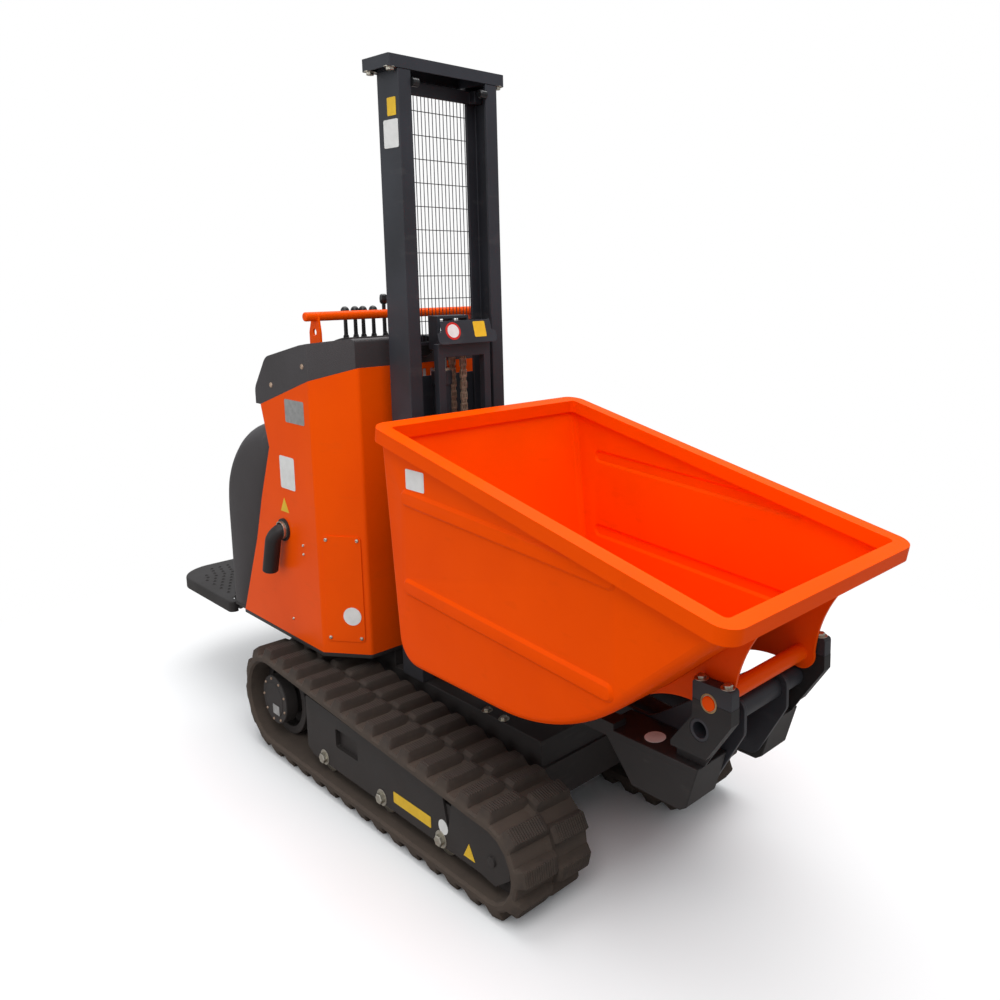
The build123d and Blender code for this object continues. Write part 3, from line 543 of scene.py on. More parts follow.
def added(name: str, data: bpy.types.ID) -> bpy.types.Object:
    """Puts a new object into the scene.

    Args:
        name: its name.
        data: its mesh, lamp or camera.

    Returns:
        The object.
    """
    thing = bpy.data.objects.new(name, data)
    bpy.context.scene.collection.objects.link(thing)
    return thing


def mesh_of(name: str, surface: Surface, closed: bool) -> bpy.types.Mesh:
    """Makes a mesh of a surface and merges its doubled points.

    Args:
        name: the mesh's name.
        surface: its points and faces.
        closed: whether it is a closed shape, whose faces can be turned outward.

    Returns:
        The mesh.
    """
    mesh = bpy.data.meshes.new(name)
    mesh.from_pydata(surface.points.tolist(), [], surface.faces)
    work = bmesh.new()
    work.from_mesh(mesh)
    bmesh.ops.remove_doubles(work, verts=work.verts, dist=MERGE)
    bmesh.ops.dissolve_degenerate(work, edges=work.edges, dist=MERGE / 10)
    if closed:
        bmesh.ops.recalc_face_normals(work, faces=work.faces)
    work.to_mesh(mesh)
    work.free()
    return mesh


def carve(thing: bpy.types.Object, tool: Surface) -> None:
    """Cuts a closed surface out of an object's mesh.

    Args:
        thing: the object.
        tool: what is cut away.
    """
    cutter = added("tool", mesh_of("tool", tool, True))
    cut = thing.modifiers.new("cut", "BOOLEAN")
    cut.operation, cut.solver, cut.object = "DIFFERENCE", "EXACT", cutter
    graph = bpy.context.evaluated_depsgraph_get()
    whole = bpy.data.meshes.new_from_object(thing.evaluated_get(graph))
    thing.modifiers.remove(cut)
    thing.data = whole
    bpy.data.objects.remove(cutter)


class Workshop:
    """Puts surfaces and softened solids into the scene with their finish and their body."""

    def __init__(self, loaded: dict) -> None:
        """Finds each solid's body and finish slot.
        """
        self.nodes = loaded["nodes"]
        record = loaded["record"]
        bodies = record["behaviour"]["bodies"]
        self.body = {node: name for name, nodes in bodies.items() for node in nodes}
        self.slots = {part["node"]: part["material_slot"] for part in record["subparts"]}

    def _dress(
        self,
        thing: bpy.types.Object,
        node: str,
        finish: Finish,
        bevel: float,
        angle: float,
        ride: bool,
        stands: bool,
    ) -> None:
        """Gives an object its material, smooth shading, soft edges and body.

        Args:
            thing: the object.
            node: the solid whose body it takes.
            finish: its finish.
            bevel: how wide its edges are rounded, or 0.
            angle: the edge angle in degrees past which an edge is sharp.
            ride: whether it rides on the solid's body at once.
            stands: whether it stands for the solid.
        """
        mesh = thing.data
        mesh.materials.clear()
        mesh.materials.append(finish.material())
        mesh.shade_smooth()
        mesh.set_sharp_from_angle(angle=math.radians(angle))
        if bevel:
            edges = thing.modifiers.new("edges", "BEVEL")
            edges.width, edges.segments, edges.limit_method = bevel, 2, "ANGLE"
            edges.angle_limit = math.radians(angle)
            edges.harden_normals = True
        if ride:
            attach(thing, self.body[node])
        if stands:
            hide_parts(node)
        LOG.info("%s on %s: %d faces", thing.name, self.body[node], len(mesh.polygons))

    def put(
        self,
        name: str,
        surface: Surface,
        finish: Finish,
        node: str,
        bevel: float = 0.0,
        stands: bool = False,
        angle: float = 35.0,
        closed: bool = True,
        ride: bool = True,
    ) -> bpy.types.Object:
        """Makes a piece from a surface; the rest is as in _dress and mesh_of.

        Args:
            name: the piece's name.
            surface: its shape.
            finish: its finish.
            node: the solid whose body it takes.
            bevel: how wide its edges are rounded, or 0.
            stands: whether it stands for that solid.
            angle: the edge angle in degrees past which an edge is sharp.
            closed: whether it is a closed shape.
            ride: whether it rides on that body at once.

        Returns:
            The object.
        """
        thing = added(name, mesh_of(name, surface, closed))
        self._dress(thing, node, finish, bevel, angle, ride, stands)
        return thing

    def soften(
        self,
        finish: Finish,
        bevel: float,
        *nodes: str,
        angle: float = 30.0,
        tool: Surface | None = None,
    ) -> None:
        """Stands for solids with copies whose flat facets are merged and whose edges are round.

        Args:
            finish: their finish.
            bevel: how wide their edges are rounded.
            nodes: the solids.
            angle: the edge angle in degrees past which an edge is rounded.
            tool: a closed surface that is cut away first.
        """
        for node in nodes:
            name = node + "_dressed"
            mesh = self.nodes[node].data.copy()
            mesh.name = name
            work = bmesh.new()
            work.from_mesh(mesh)
            bmesh.ops.remove_doubles(work, verts=work.verts, dist=MERGE * 2)
            bmesh.ops.dissolve_limit(
                work, angle_limit=math.radians(1.0), verts=work.verts, edges=work.edges
            )
            work.to_mesh(mesh)
            work.free()
            thing = added(name, mesh)
            if tool is not None:
                carve(thing, tool)
            self._dress(thing, node, finish, bevel, angle, True, True)

    def sticker(
        self,
        name: str,
        place: tuple | np.ndarray,
        outline: np.ndarray,
        finish: Finish,
        node: str,
        axes: tuple = SIDE,
    ) -> None:
        """Lays a thin blank card on a surface: its outline, raised, and a fan to its middle.

        Args:
            name: the piece's name.
            place: the outline's middle.
            outline: an (n, 2) array.
            finish: its finish.
            node: the solid that it rides with.
            axes: the outline's two directions in space.
        """
        first, second = np.array(axes, float)
        lift = np.cross(first, second) * CARD
        flat = np.array(place) + outline[:, :1] * first + outline[:, 1:] * second
        count = len(flat)
        points = np.vstack([flat, flat + lift, (flat.mean(0) + lift)[None]])
        pairs = [(k, (k + 1) % count) for k in range(count)]
        faces = [(a, b, b + count, a + count) for a, b in pairs]
        faces += [(a + count, b + count, 2 * count) for a, b in pairs]
        self.put(name, Surface(points, faces), finish, node, closed=False)


# ---------------------------------------------------------------- running gear


@dataclass
class Tracks:
    """Both rubber tracks: an endless belt with two staggered rows of lugs."""

    shop: Workshop
    inside: float = 0.175
    outside: float = 0.395
    belt: float = 0.022
    lug: float = 0.025
    lug_half: float = 0.0245
    lug_rise: float = 0.009
    lug_cuts: tuple = (0.0145, 0.0165, 0.0205)
    count: int = 36
    skew: float = 0.005
    sprocket: tuple = (0.385, 0.168, 0.121)
    idler: tuple = (-0.675, 0.132, 0.085)

    def loop(self, length: np.ndarray) -> tuple[np.ndarray, np.ndarray, float]:
        """Places round the belt's inside, for lengths measured on its outside.

        The loop is a straight run under both wheels, the rear wheel's arc, a straight run over
        both and the front wheel's arc. On an arc the angle is the length over the radius.

        Args:
            length: lengths round the loop.

        Returns:
            The (Y, Z) places, the outward (Y, Z) directions and the whole loop's length.
        """
        rear, front = np.array(self.sprocket[:2]), np.array(self.idler[:2])
        big, small = self.sprocket[2], self.idler[2]
        span = float(np.hypot(*(rear - front)))
        lean = math.asin((big - small) / span)
        tilt = math.atan2(*(rear - front)[::-1])
        top, low = math.pi / 2 + tilt + lean, -math.pi / 2 + tilt - lean
        run = span * math.cos(lean)
        rear_end = run + (big + self.belt) * (top - low)
        front_start = rear_end + run
        total = front_start + (small + self.belt) * (2 * math.pi - top + low)
        s = np.mod(length, total)
        parts = [s < run, s < rear_end, s < front_start, s >= front_start]
        turns = [0 * s + low, low + (s - run) / (big + self.belt), 0 * s + top,
                 top + (s - front_start) / (small + self.belt)]
        angle = np.select(parts, turns)
        out = np.stack([np.cos(angle), np.sin(angle)], -1)
        way = np.stack([-np.sin(angle), np.cos(angle)], -1)
        under = front + small * out + s[:, None] * way
        over = rear + big * out + (s - rear_end)[:, None] * way
        spots = [under, rear + big * out, over, front + small * out]
        return np.select([p[:, None] for p in parts], spots), out, total

    def height(self, length: np.ndarray, phase: float, pitch: float) -> np.ndarray:
        """The tread's height: the belt, plus a lug that rises at each of its ends."""
        away = np.abs(np.mod(length - phase * pitch + pitch / 2, pitch) - pitch / 2)
        return self.belt + self.lug * np.clip((self.lug_half - away) / self.lug_rise, 0, 1) ** 0.75

    def surface(self) -> tuple[Surface, np.ndarray]:
        """The belt at +X: a section carried round the loop, closed both ways.

        From the middle of the belt, the section goes over each row of lugs, down that edge and
        along the inner face. Its lengths catch each lug's root, shoulder and top in both rows.

        Returns:
            The surface, and each point's place across the belt and share of a lug's height.
        """
        total = self.loop(np.zeros(1))[2]
        pitch = total / self.count
        ends = np.array([*self.lug_cuts, self.lug_half])
        steps = np.concatenate([-ends[::-1], ends])
        one = np.concatenate([pitch * 0.25 + steps, pitch * 0.75 + steps])
        every = (np.arange(self.count)[:, None] * pitch + one[None]).ravel()
        lengths = np.sort(np.mod(every, total))
        near, far = (self.height(lengths, phase, pitch) for phase in (0.25, 0.75))
        flat, belt = 0 * lengths, self.belt
        middle, half = (self.inside + self.outside) / 2, (self.outside - self.inside) / 2
        section = []
        for sign, own, other in ((1, far, near), (-1, near, far)):
            gain = own - belt
            row = [
                (half - 0.006, flat, 0.0),
                (half, flat + 0.006, 0.0),
                (half, belt - 0.006 + gain * 0.15, 0.0),
                (half - 0.004, belt + gain * 0.35, 0.0),
                (half - 0.011, belt + gain * 0.90, 0.0),
                (half - 0.017, own, 0.1),
                (half - 0.050, own, 0.5),
                (0.012, own, 1.0),
                (0.001, belt + 0.7 * gain + 0.25 * (other - belt), 1.0),
            ]
            section += [(middle + sign * x, rise, sign * push) for x, rise, push in row[::sign]]
        section.insert(0, section.pop())
        columns, maps = [], []
        for x, rise, push in section:
            place, out, _ = self.loop(lengths + push * self.skew)
            columns.append(np.column_stack([flat + x, place + (rise + flat)[:, None] * out]))
            maps.append(np.column_stack([flat + x, (rise - belt) / self.lug + flat]))
        sheet = grid(np.stack(columns, 1), wrap_u=True, wrap_v=True)
        return sheet, np.stack(maps, 1).reshape(-1, 2)

    def build(self) -> None:
        """Makes both tracks, and keeps their flat map for the finish."""
        left, flat = self.surface()
        for side, belt in (("l", left), ("r", left.image())):
            name = "track_" + side
            mesh = self.shop.put(
                name + "_rubber", belt, Finish.RUBBER, name, stands=True, angle=28
            ).data
            corners = np.zeros(len(mesh.loops), int)
            mesh.loops.foreach_get("vertex_index", corners)
            mesh.uv_layers.new(name="tread").uv.foreach_set("vector", flat[corners].ravel())


@dataclass
class RunningGear:
    """Frames, wheels and motors inside the tracks, with their bolts and blank stickers."""

    shop: Workshop
    plate: float = 0.374
    slot: tuple = ((0.360, -0.097, 0.152), (0.380, 0.017, 0.207))
    bolt_y: tuple = (0.084, -0.212, -0.475)
    bolt_z: float = 0.096
    drum: tuple = (0.3715, 0.385, 0.168)
    drum_screw_ring: float = 0.066
    hub: tuple = (0.372, -0.675, 0.132)

    def frames(self) -> None:
        """Dresses the frames, wheels and deck, and cuts each frame's slot."""
        slot = rounded_box(*self.slot, 0.006, "x")
        soften = self.shop.soften
        for side, tool in (("l", slot), ("r", slot.image())):
            soften(Finish.LOW_BLACK, 0.002, "track_frame_" + side, tool=tool)
            soften(Finish.LOW_BLACK, 0.003, "drive_motor_" + side)
        soften(Finish.LOW_BLACK, 0.003, "idlers")
        soften(Finish.ZINC, 0.002, "track_rollers")
        soften(Finish.LOW_BLACK, 0.002, "chassis")

    def fastenings(self) -> None:
        """Puts bolts on the frames, deck and flanges, and lids on the drums and tensioners."""
        ring = circle(self.drum_screw_ring, 9)
        x, y, z = self.drum
        lid = [(0, 0), (0.002, 0), (0.003, 0.046), (0.002, 0.052), (0, 0.054)]
        hub = [(0, 0), (0.009, 0), (0.007, 0.012), (0, 0.014)]
        roller = bolts([(self.plate, at, self.bolt_z) for at in self.bolt_y], "x", 1, 0.030)
        small = screws([(x, y + u, z + v) for u, v in ring], "x", 1, 0.0045)
        lids, hubs = turned(lid, "x", self.drum, 40), turned(hub, "x", self.hub, 20)
        deck = [(u, v, 0.3) for u in (-0.138, 0.138) for v in (-0.36, -0.43)]
        flange = [(0.352, 0.181, w) for w in (0.120, 0.150, 0.200, 0.230)]
        for name, surface, finish, bevel in (
            ("roller_bolts", roller.mirrored(), Finish.ZINC, 0.0006),
            ("drum_screws", small.mirrored(), Finish.CHAIN, 0.0),
            ("drum_lids", lids.mirrored(), Finish.LOW_BLACK, 0.0),
            ("tensioner_hubs", hubs.mirrored(), Finish.LOW_BLACK, 0.0005),
            ("deck_bolts", bolts(deck, "z", 1, 0.020), Finish.ZINC, 0.0005),
            ("flange_bolts", bolts(flange, "y", 1, 0.014).mirrored(), Finish.CHAIN, 0.0004),
        ):
            self.shop.put(name, surface, finish, "chassis", bevel)

    def stickers(self) -> None:
        """Puts blank stickers on the near frame and drum."""
        x = -self.plate - SKIN
        for name, place, outline, finish in (
            ("frame_strip", (x, -0.352, 0.122), card(0.165, 0.030), Finish.YELLOW),
            ("frame_disc", (x, -0.486, 0.133), circle(0.019), Finish.WHITE),
            ("frame_triangle", (x, -0.588, 0.110), triangle(0.044), Finish.YELLOW),
            ("drum_plate", (-0.3748, 0.372, 0.140), card(0.040, 0.030), Finish.PLATE),
        ):
            self.shop.sticker(name, place, outline, finish, "chassis")

    def build(self) -> None:
        """Makes everything in the tracks but the rubber."""
        self.frames()
        self.fastenings()
        self.stickers()


# ---------------------------------------------------------------- skip


@dataclass
class Skip:
    """The tipping skip: its shell, brackets, pins and one blank sticker."""

    shop: Workshop
    half: float = 0.333
    pivot: tuple = (-1.147, 0.605)

    def build(self) -> None:
        """Makes the skip."""
        soften = self.shop.soften
        soften(Finish.SKIP, 0.008, "skip_shell", angle=28)
        soften(Finish.ORANGE, 0.002, "skip_brackets")
        soften(Finish.ZINC, 0.001, "skip_pins")
        cap = [(0.1865, 0.0), (0.190, 0.0), (0.190, 0.0135), (0.1885, 0.0155), (0.1865, 0.016)]
        caps = turned(cap, "x", (0.0, *self.pivot), 28).mirrored()
        self.shop.put("pin_caps", caps, Finish.ORANGE, "skip_pins")
        place = (-self.half - SKIN, -0.362, 0.963)
        self.shop.sticker("skip_sticker", place, card(0.076, 0.050), Finish.WHITE, "skip_shell")


# ---------------------------------------------------------------- mast


@dataclass
class Mast:
    """The mast: posts, cap, wire guard, lift cylinder and its chains."""

    shop: Workshop
    post_out: float = 0.160
    guard_x: float = 0.150
    guard_low: float = 1.250
    cap_low: float = 1.976
    guard_y: float = 0.007
    wire: float = 0.0013
    wire_step: float = 0.012
    weave: float = 0.0008
    cross_first: float = 0.068
    cross_step: float = 0.064
    bar: tuple = (0.010, 0.002, 0.0015)  # the guard's edge: width, half depth, corner radius
    chain_x: float = 0.038
    chain_low: float = 0.640
    chain_high: float = 1.290
    links: int = 40
    link: tuple = (0.0045, 0.0042, 0.0012)  # half width, an end's round, half thickness
    pin: tuple = (0.010, 0.0022)  # half length, radius

    def steel(self) -> None:
        """Dresses the posts, the cap and the bar, with bolts, stops and a plate behind."""
        self.shop.soften(
            Finish.BLACK, 0.003, "mast_post_l", "mast_post_r", "mast_cap", "mast_crossbar"
        )
        put, z = self.shop.put, self.cap_low + 0.001
        seats = [(x, y, z) for x in (-0.1725, 0.1725) for y in (-0.08, 0.014)]
        put("cap_bolts", bolts(seats, "z", -1, 0.022), Finish.ZINC, "mast_cap", 0.0004)
        bump = [(0, 0), (0, 0.012), (0.018, 0.012), (0.021, 0.009), (0.021, 0)]
        stops = turned(bump, "x", (-0.1195, -0.094, 1.946), 18).mirrored()
        put("post_stops", stops, Finish.KNOB, "mast_cap")
        back = rounded_box((-0.155, 0.0052, 0.560), (0.155, 0.0082, 1.163), 0.0014, "x", 2)
        put("mast_back_plate", back, Finish.BLACK, "mast_guard")

    def guard(self) -> None:
        """Weaves the guard: upright wires every 12 mm, and cross wires every 64 mm.

        The cross wires wave to and fro, so each upright sits behind or before them.
        """
        low, high, y, wide = self.guard_low, self.cap_low, self.guard_y, self.guard_x
        wire = circle(self.wire, 6)
        columns = np.arange(self.wire_step / 2 - wide, wide - self.wire_step / 4, self.wire_step)
        upright = carried(wire, np.array([(0.0, y, low), (0.0, y, high)]), (0, 1, 0))
        wires = upright.moved([(x, 0, 0) for x in columns])
        x = np.linspace(-wide, wide, 101)
        sway = y - self.weave * np.cos((x - columns[0]) / self.wire_step * math.pi)
        cross = carried(wire, np.column_stack([x, sway, 0 * x + low + self.cross_first]), (0, 0, 1))
        rows = np.arange(0.0, high - low - 0.1, self.cross_step)
        wires += cross.moved([(0, 0, row) for row in rows])
        thick, deep, soft = self.bar
        side, near, back = wide - thick / 2, y - deep, y + deep
        for x in (-side - thick, side):
            wires += rounded_box((x, near, low), (x + thick, back, high), soft, "z")
        wires += rounded_box((-side, near, low), (side, back, low + thick), soft, "x")
        self.shop.put("guard_wires", wires, Finish.BLACK, "mast_guard", stands=True)

    def lift(self) -> None:
        """Dresses the lift cylinder, its rod and the crosshead."""
        soften = self.shop.soften
        soften(Finish.BLACK, 0.003, "lift_cylinder")
        soften(Finish.CHROME, 0.0, "lift_rod")
        soften(Finish.BLACK, 0.002, "crosshead")
        soften(Finish.ZINC, 0.001, "chain_pulley")
        ring = [(1.176, 0.0165), (1.176, 0.0225), (1.186, 0.0215), (1.186, 0.0165)]
        gland = turned(ring, "z", (-0.018, -0.036, 0.0), 28)
        self.shop.put("lift_gland", gland, Finish.CHAIN, "lift_cylinder", 0.0005)

    def links_at(self, y: float) -> Surface:
        """One straight run of leaf chain: stadium plates in threes and fours on round pins.

        Args:
            y: where the run is.

        Returns:
            The surface, drawn from the chain's lower end to its upper end.
        """
        pitch = (self.chain_high - self.chain_low) / self.links
        angle = np.linspace(0, 2 * math.pi, 12, endpoint=False)
        stretch = pitch / 2 * np.sign(np.sin(angle + 1e-6))
        (wide, end, thin), (long, r) = self.link, self.pin
        outline = np.stack([wide * np.cos(angle), end * np.sin(angle) + stretch], -1)
        pin = turned([(-long, 0), (-long, r), (long, r), (long, 0)], "x", ORIGIN, 8)
        parts = Surface(np.zeros((0, 3)), [])
        fours, threes = (-0.0085, -0.0028, 0.0028, 0.0085), (-0.0057, 0.0, 0.0057)
        for first, offsets in ((0, fours), (1, threes)):
            z = self.chain_low + (np.arange(first, self.links, 2) + 0.5) * pitch
            for x in offsets:
                link = prism(outline, "x", x - thin, x + thin)
                parts += link.moved([(self.chain_x, y, at) for at in z])
        z = self.chain_low + np.arange(1, self.links) * pitch
        return parts + pin.moved([(self.chain_x, y, at) for at in z])

    def chains(self) -> None:
        """Makes both chain runs, baked where they stand and riding on no body."""
        for name, y, body in (
            ("chain_front", -0.062, "carriage"),
            ("chain_rear", -0.010, "chassis"),
        ):
            run = self.shop.put(
                name + "_links", self.links_at(y), Finish.CHAIN, name, stands=True, ride=False
            )
            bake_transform(run)

    def build(self) -> None:
        """Makes the mast, with blank stickers on the near post."""
        self.steel()
        self.guard()
        self.lift()
        self.chains()
        x = -self.post_out - SKIN
        for name, place, outline, finish in (
            ("post_patch", (x, -0.061, 1.883), card(0.040, 0.046), Finish.YELLOW),
            ("post_card", (x, -0.054, 1.815), card(0.068, 0.072), Finish.WHITE),
        ):
            self.shop.sticker(name, place, outline, finish, "mast_post_r")


@dataclass
class Carriage:
    """The lift carriage: frame, backrest, arms, bearings and the tip cylinder."""

    shop: Workshop
    box: tuple = ((-1.121, 0.4505), (-1.090, 0.352), (-1.072, 0.340), (-0.935, 0.340),
                  (-0.840, 0.4505))
    box_x: tuple = (0.0865, 0.1868)
    nut_y: tuple = (-1.185, -1.118)
    sign: tuple = (-0.145, 1.262)
    sign_up: tuple = (0.0, 0.017, 0.063)

    def build(self) -> None:
        """Makes the carriage and what it carries."""
        soften, put = self.shop.soften, self.shop.put
        frames = ("carriage", "backrest", "bearing_caps", "crosstube", "centre_plates")
        soften(Finish.BLACK, 0.002, *frames)
        # The arms and their boxes take the darker black: painted shade on the carriage's black
        # paint.
        soften(Finish.LOW_BLACK, 0.002, "arm_l", "arm_r")
        box = prism(np.array(self.box), "x", *self.box_x).mirrored()
        put("arm_boxes", box, Finish.LOW_BLACK, "arm_r", 0.003)
        nuts = bolts([(0.1735, y, 0.6458) for y in self.nut_y], "z", 1, 0.0205).mirrored()
        put("cap_nuts", nuts, Finish.ZINC, "bearing_caps", 0.0005)
        soften(Finish.BLACK, 0.0006, "sign_plate")
        soften(Finish.ZINC, 0.002, "carriage_rollers")
        soften(Finish.BRONZE, 0.0006, "bushings")
        soften(Finish.BLACK, 0.002, "tip_barrel")
        soften(Finish.CHROME, 0.0, "tip_rod")
        self.stickers()

    def stickers(self) -> None:
        """Puts a blank disc on the near arm, and a rimmed disc and a card on the tilted plate."""
        sticker = self.shop.sticker
        along, level = (1.0, 0.0, 0.0), (0.0, 1.0, 0.0)
        arm = (-0.146, -0.968, 0.4507)
        sticker("arm_disc", arm, circle(0.024), Finish.WHITE, "arm_r", (along, level))
        up = np.array(self.sign_up) / math.hypot(*self.sign_up)
        out = np.cross(along, up)
        for name, x, rise, lift, outline, finish in (
            ("sign_rim", -0.047, 0.036, 0.0031, circle(0.0245), Finish.RED),
            ("sign_disc", -0.047, 0.036, 0.0036, circle(0.0185), Finish.WHITE),
            ("sign_card", 0.043, 0.038, 0.0031, card(0.040, 0.044), Finish.YELLOW),
        ):
            place = np.array((x, *self.sign)) + rise * up + lift * out
            sticker(name, place, outline, finish, "sign_plate", (along, up))


# ---------------------------------------------------------------- engine end


@dataclass
class EngineEnd:
    """The engine cover, console, rear cover, controls and exhaust."""

    shop: Workshop
    half: float = 0.312
    nose: float = 0.228
    front: float = 0.055
    slant: float = 0.178
    hatch_z: float = 0.5575
    shroud_half: float = 0.300
    shroud_round: float = 0.062
    shroud_thick: float = 0.004
    shroud_rows: int = 60
    crest: tuple = ((0.447, 0.938), (0.485, 1.004), (0.610, 0.985), (0.720, 0.925), (0.810, 0.820),
                    (0.8345, 0.720), (0.8345, 0.600), (0.8345, 0.362))
    front_edge: tuple = ((0.445, 0.936), (0.514, 0.777), (0.569, 0.628), (0.693, 0.362))
    console_top: tuple = ((0.217, 1.255), (0.428, 1.210))
    base: tuple = ((0.232, 0.276), 1.2518, 0.016)
    lever_y: float = 0.252
    lever_z: float = 1.258
    levers: tuple = (-0.146, -0.114, -0.088, -0.054)
    tall: tuple = (-0.015, 0.010)
    tall_back: float = 0.003

    def covers(self) -> None:
        """Dresses the covers and the block inside."""
        soften = self.shop.soften
        soften(Finish.ORANGE, 0.003, "pod_body", angle=25)
        soften(Finish.PLASTIC, 0.012, "console_cover", angle=25)
        self.shroud()
        soften(Finish.ORANGE, 0.001, "hatch_panels")
        soften(Finish.LOW_BLACK, 0.001, "exhaust")
        soften(Finish.ORANGE, 0.002, "handlebar")
        soften(Finish.BLOCK, 0.004, "engine_block")

    def shroud(self) -> None:
        """Makes the rear cover: one soft sheet over the crest and down the back.

        A section runs across the machine at each place on the side profile: from the cover's front
        edge, straight back along the side, a quarter circle to the back, and the same mirrored.
        """
        path = np.array(self.crest)
        for _ in range(4):
            first, second = path[:-1], path[1:]
            cut = np.stack([0.75 * first + 0.25 * second, 0.25 * first + 0.75 * second], 1)
            path = np.vstack([path[:1], cut.reshape(-1, 2), path[-1:]])
        path = evenly(path, self.shroud_rows)
        front = evenly(np.array(self.front_edge), self.shroud_rows)
        way = np.gradient(path, axis=0)
        way /= np.linalg.norm(way, axis=1, keepdims=True)
        inward = np.column_stack([way[:, 1], -way[:, 0]])
        room = np.linalg.norm(path - front, axis=1)
        radius = np.minimum(self.shroud_round, 0.5 * room + 0.002)
        columns = [np.column_stack([0 * room + self.shroud_half, front])]
        for angle in np.linspace(0, math.pi / 2, 9):
            x = self.shroud_half - radius + radius * math.cos(angle)
            depth = radius * (1 - math.sin(angle))
            columns.append(np.column_stack([x, path + depth[:, None] * inward]))
        columns.append(np.column_stack([0 * room, path]))
        columns += [column * (-1, 1, 1) for column in columns[-2::-1]]
        cover = self.shop.put(
            "rear_cover", grid(np.stack(columns, 1)), Finish.PLASTIC, "rear_shroud", stands=True,
            angle=50, closed=False,
        )
        sheet = cover.modifiers.new("sheet", "SOLIDIFY")
        sheet.thickness, sheet.offset = self.shroud_thick, -1.0

    def slanted(self) -> tuple[np.ndarray, np.ndarray, np.ndarray]:
        """The near slanted corner's middle, its level direction and its outward one."""
        across, back = self.half - self.nose, self.slant - self.front
        way = np.array((across, -back, 0.0)) / math.hypot(across, back)
        out = np.array((way[1], -way[0], 0.0))
        middle = (-(self.nose + self.half) / 2, (self.front + self.slant) / 2, self.hatch_z)
        return np.array(middle), way, out

    def screws(self) -> None:
        """Puts screws on the hatches, the covers and the console."""
        x = -self.half
        middle, way, out = self.slanted()
        corners = [(u, w) for u in (-0.047, 0.047) for w in (-0.146, 0.146)]
        spots = [middle + out * 0.003 + way * u + np.array((0, 0, w)) for u, w in corners]
        head = screws([ORIGIN], "x", -1, 0.0055)
        leaned = Surface(head.points @ np.array([-out, -way, (0, 0, 1)]), head.faces).moved(spots)
        side = screws([(x, 0.262, 0.667), (x, 0.262, 0.64), (x, 0.35, 0.42)], "x", -1, 0.0045)
        console = screws([(x, 0.205, 1.196), (x, 0.40, 1.128)], "x", -1, 0.008)
        for name, heads, finish, node in (
            ("hatch_screws", leaned, Finish.ZINC, "hatch_panels"),
            ("side_screws", side, Finish.ZINC, "pod_body"),
            ("console_screws", console, Finish.CHAIN, "console_cover"),
        ):
            self.shop.put(name, heads.mirrored(), finish, node)

    def controls(self) -> None:
        """Makes the levers: rods with round or upright knobs on pleated boots and one base."""
        put = self.shop.put
        (near, far), low, thick = self.base
        (front, high), (back, under) = self.console_top
        end = low + (far - near) * (under - high) / (back - front)
        outline = np.array([(near, low), (far, end), (far, end + thick), (near, low + thick)])
        base = prism(outline, "x", -0.172, 0.034)
        put("lever_base", base, Finish.PLASTIC, "levers", 0.002, True)
        boot = [(0.0, 0.0)]
        for step in range(5):
            radius = 0.0120 - 0.0010 * step
            boot += [(0.0036 * step, radius), (0.0036 * step + 0.0018, radius - 0.0020)]
        boot += [(0.020, 0.0056), (0.020, 0.0)]
        seats = [(x, self.lever_y, self.lever_z) for x in self.levers + self.tall]
        put("lever_boots", turned(boot, "z", ORIGIN, 16).moved(seats), Finish.BOOT, "levers")
        turn = np.linspace(-math.pi / 2, math.pi / 2, 13)
        ball = [(0.0135 * math.sin(a), 0.0125 * math.cos(a)) for a in turn]
        grip = [(1.361, 0.0), (1.361, 0.008), (1.366, 0.0115), (1.378, 0.0120), (1.388, 0.0105),
                (1.391, 0.006), (1.391, 0.0)]
        rods = knobs = Surface(np.zeros((0, 3)), [])
        for places, y, long, tip, shape, z in (
            (self.levers, self.lever_y, 0.078, 0.0052, ball, 1.344),
            (self.tall, self.lever_y + self.tall_back, 0.108, 0.0055, grip, 0.0),
        ):
            stem = turned([(0, 0), (0, 0.006), (long, tip), (long, 0)], "z", ORIGIN, 12)
            rods += stem.moved([(x, y, self.lever_z) for x in places])
            knobs += turned(shape, "z", (0, y, z), 20).moved([(x, 0, 0) for x in places])
        put("lever_rods", rods, Finish.KNOB, "levers")
        put("lever_knobs", knobs, Finish.KNOB, "levers")

    def trimmings(self) -> None:
        """Adds the round cap on the console's front, the exhaust's clamp and the blank plates."""
        put, sticker = self.shop.put, self.shop.sticker
        cap = [(0.060, 0.0), (0.060, 0.033), (0.050, 0.033), (0.047, 0.030), (0.047, 0.0)]
        disc = turned(cap, "y", (-0.015, 0.0, 1.245), 32)
        put("console_cap", disc, Finish.KNOB, "console_cover", 0.001)
        ring = [(-0.3175, 0.024), (-0.3175, 0.027), (-0.327, 0.027), (-0.327, 0.024)]
        clamp = turned(ring, "x", (0.0, 0.373, 0.694), 28)
        put("exhaust_clamp", clamp, Finish.ZINC, "exhaust", 0.0004)
        x = -self.half - SKIN
        for name, place, outline, finish in (
            ("maker_plate", (x, 0.266, 1.061), card(0.112, 0.068), Finish.PLATE),
            ("side_card", (x, 0.332, 0.873), card(0.088, 0.098), Finish.WHITE),
            ("side_triangle", (x, 0.362, 0.765), triangle(0.050), Finish.YELLOW),
        ):
            sticker(name, place, outline, finish, "pod_body")
        middle, way, out = self.slanted()
        place = middle + out * 0.0032 + way * 0.022 - np.array((0, 0, 0.080))
        axes = (way, (0, 0, 1))
        sticker("corner_disc", place, circle(0.027), Finish.WHITE, "hatch_panels", axes)

    def build(self) -> None:
        """Makes the engine end."""
        self.covers()
        self.screws()
        self.controls()
        self.trimmings()


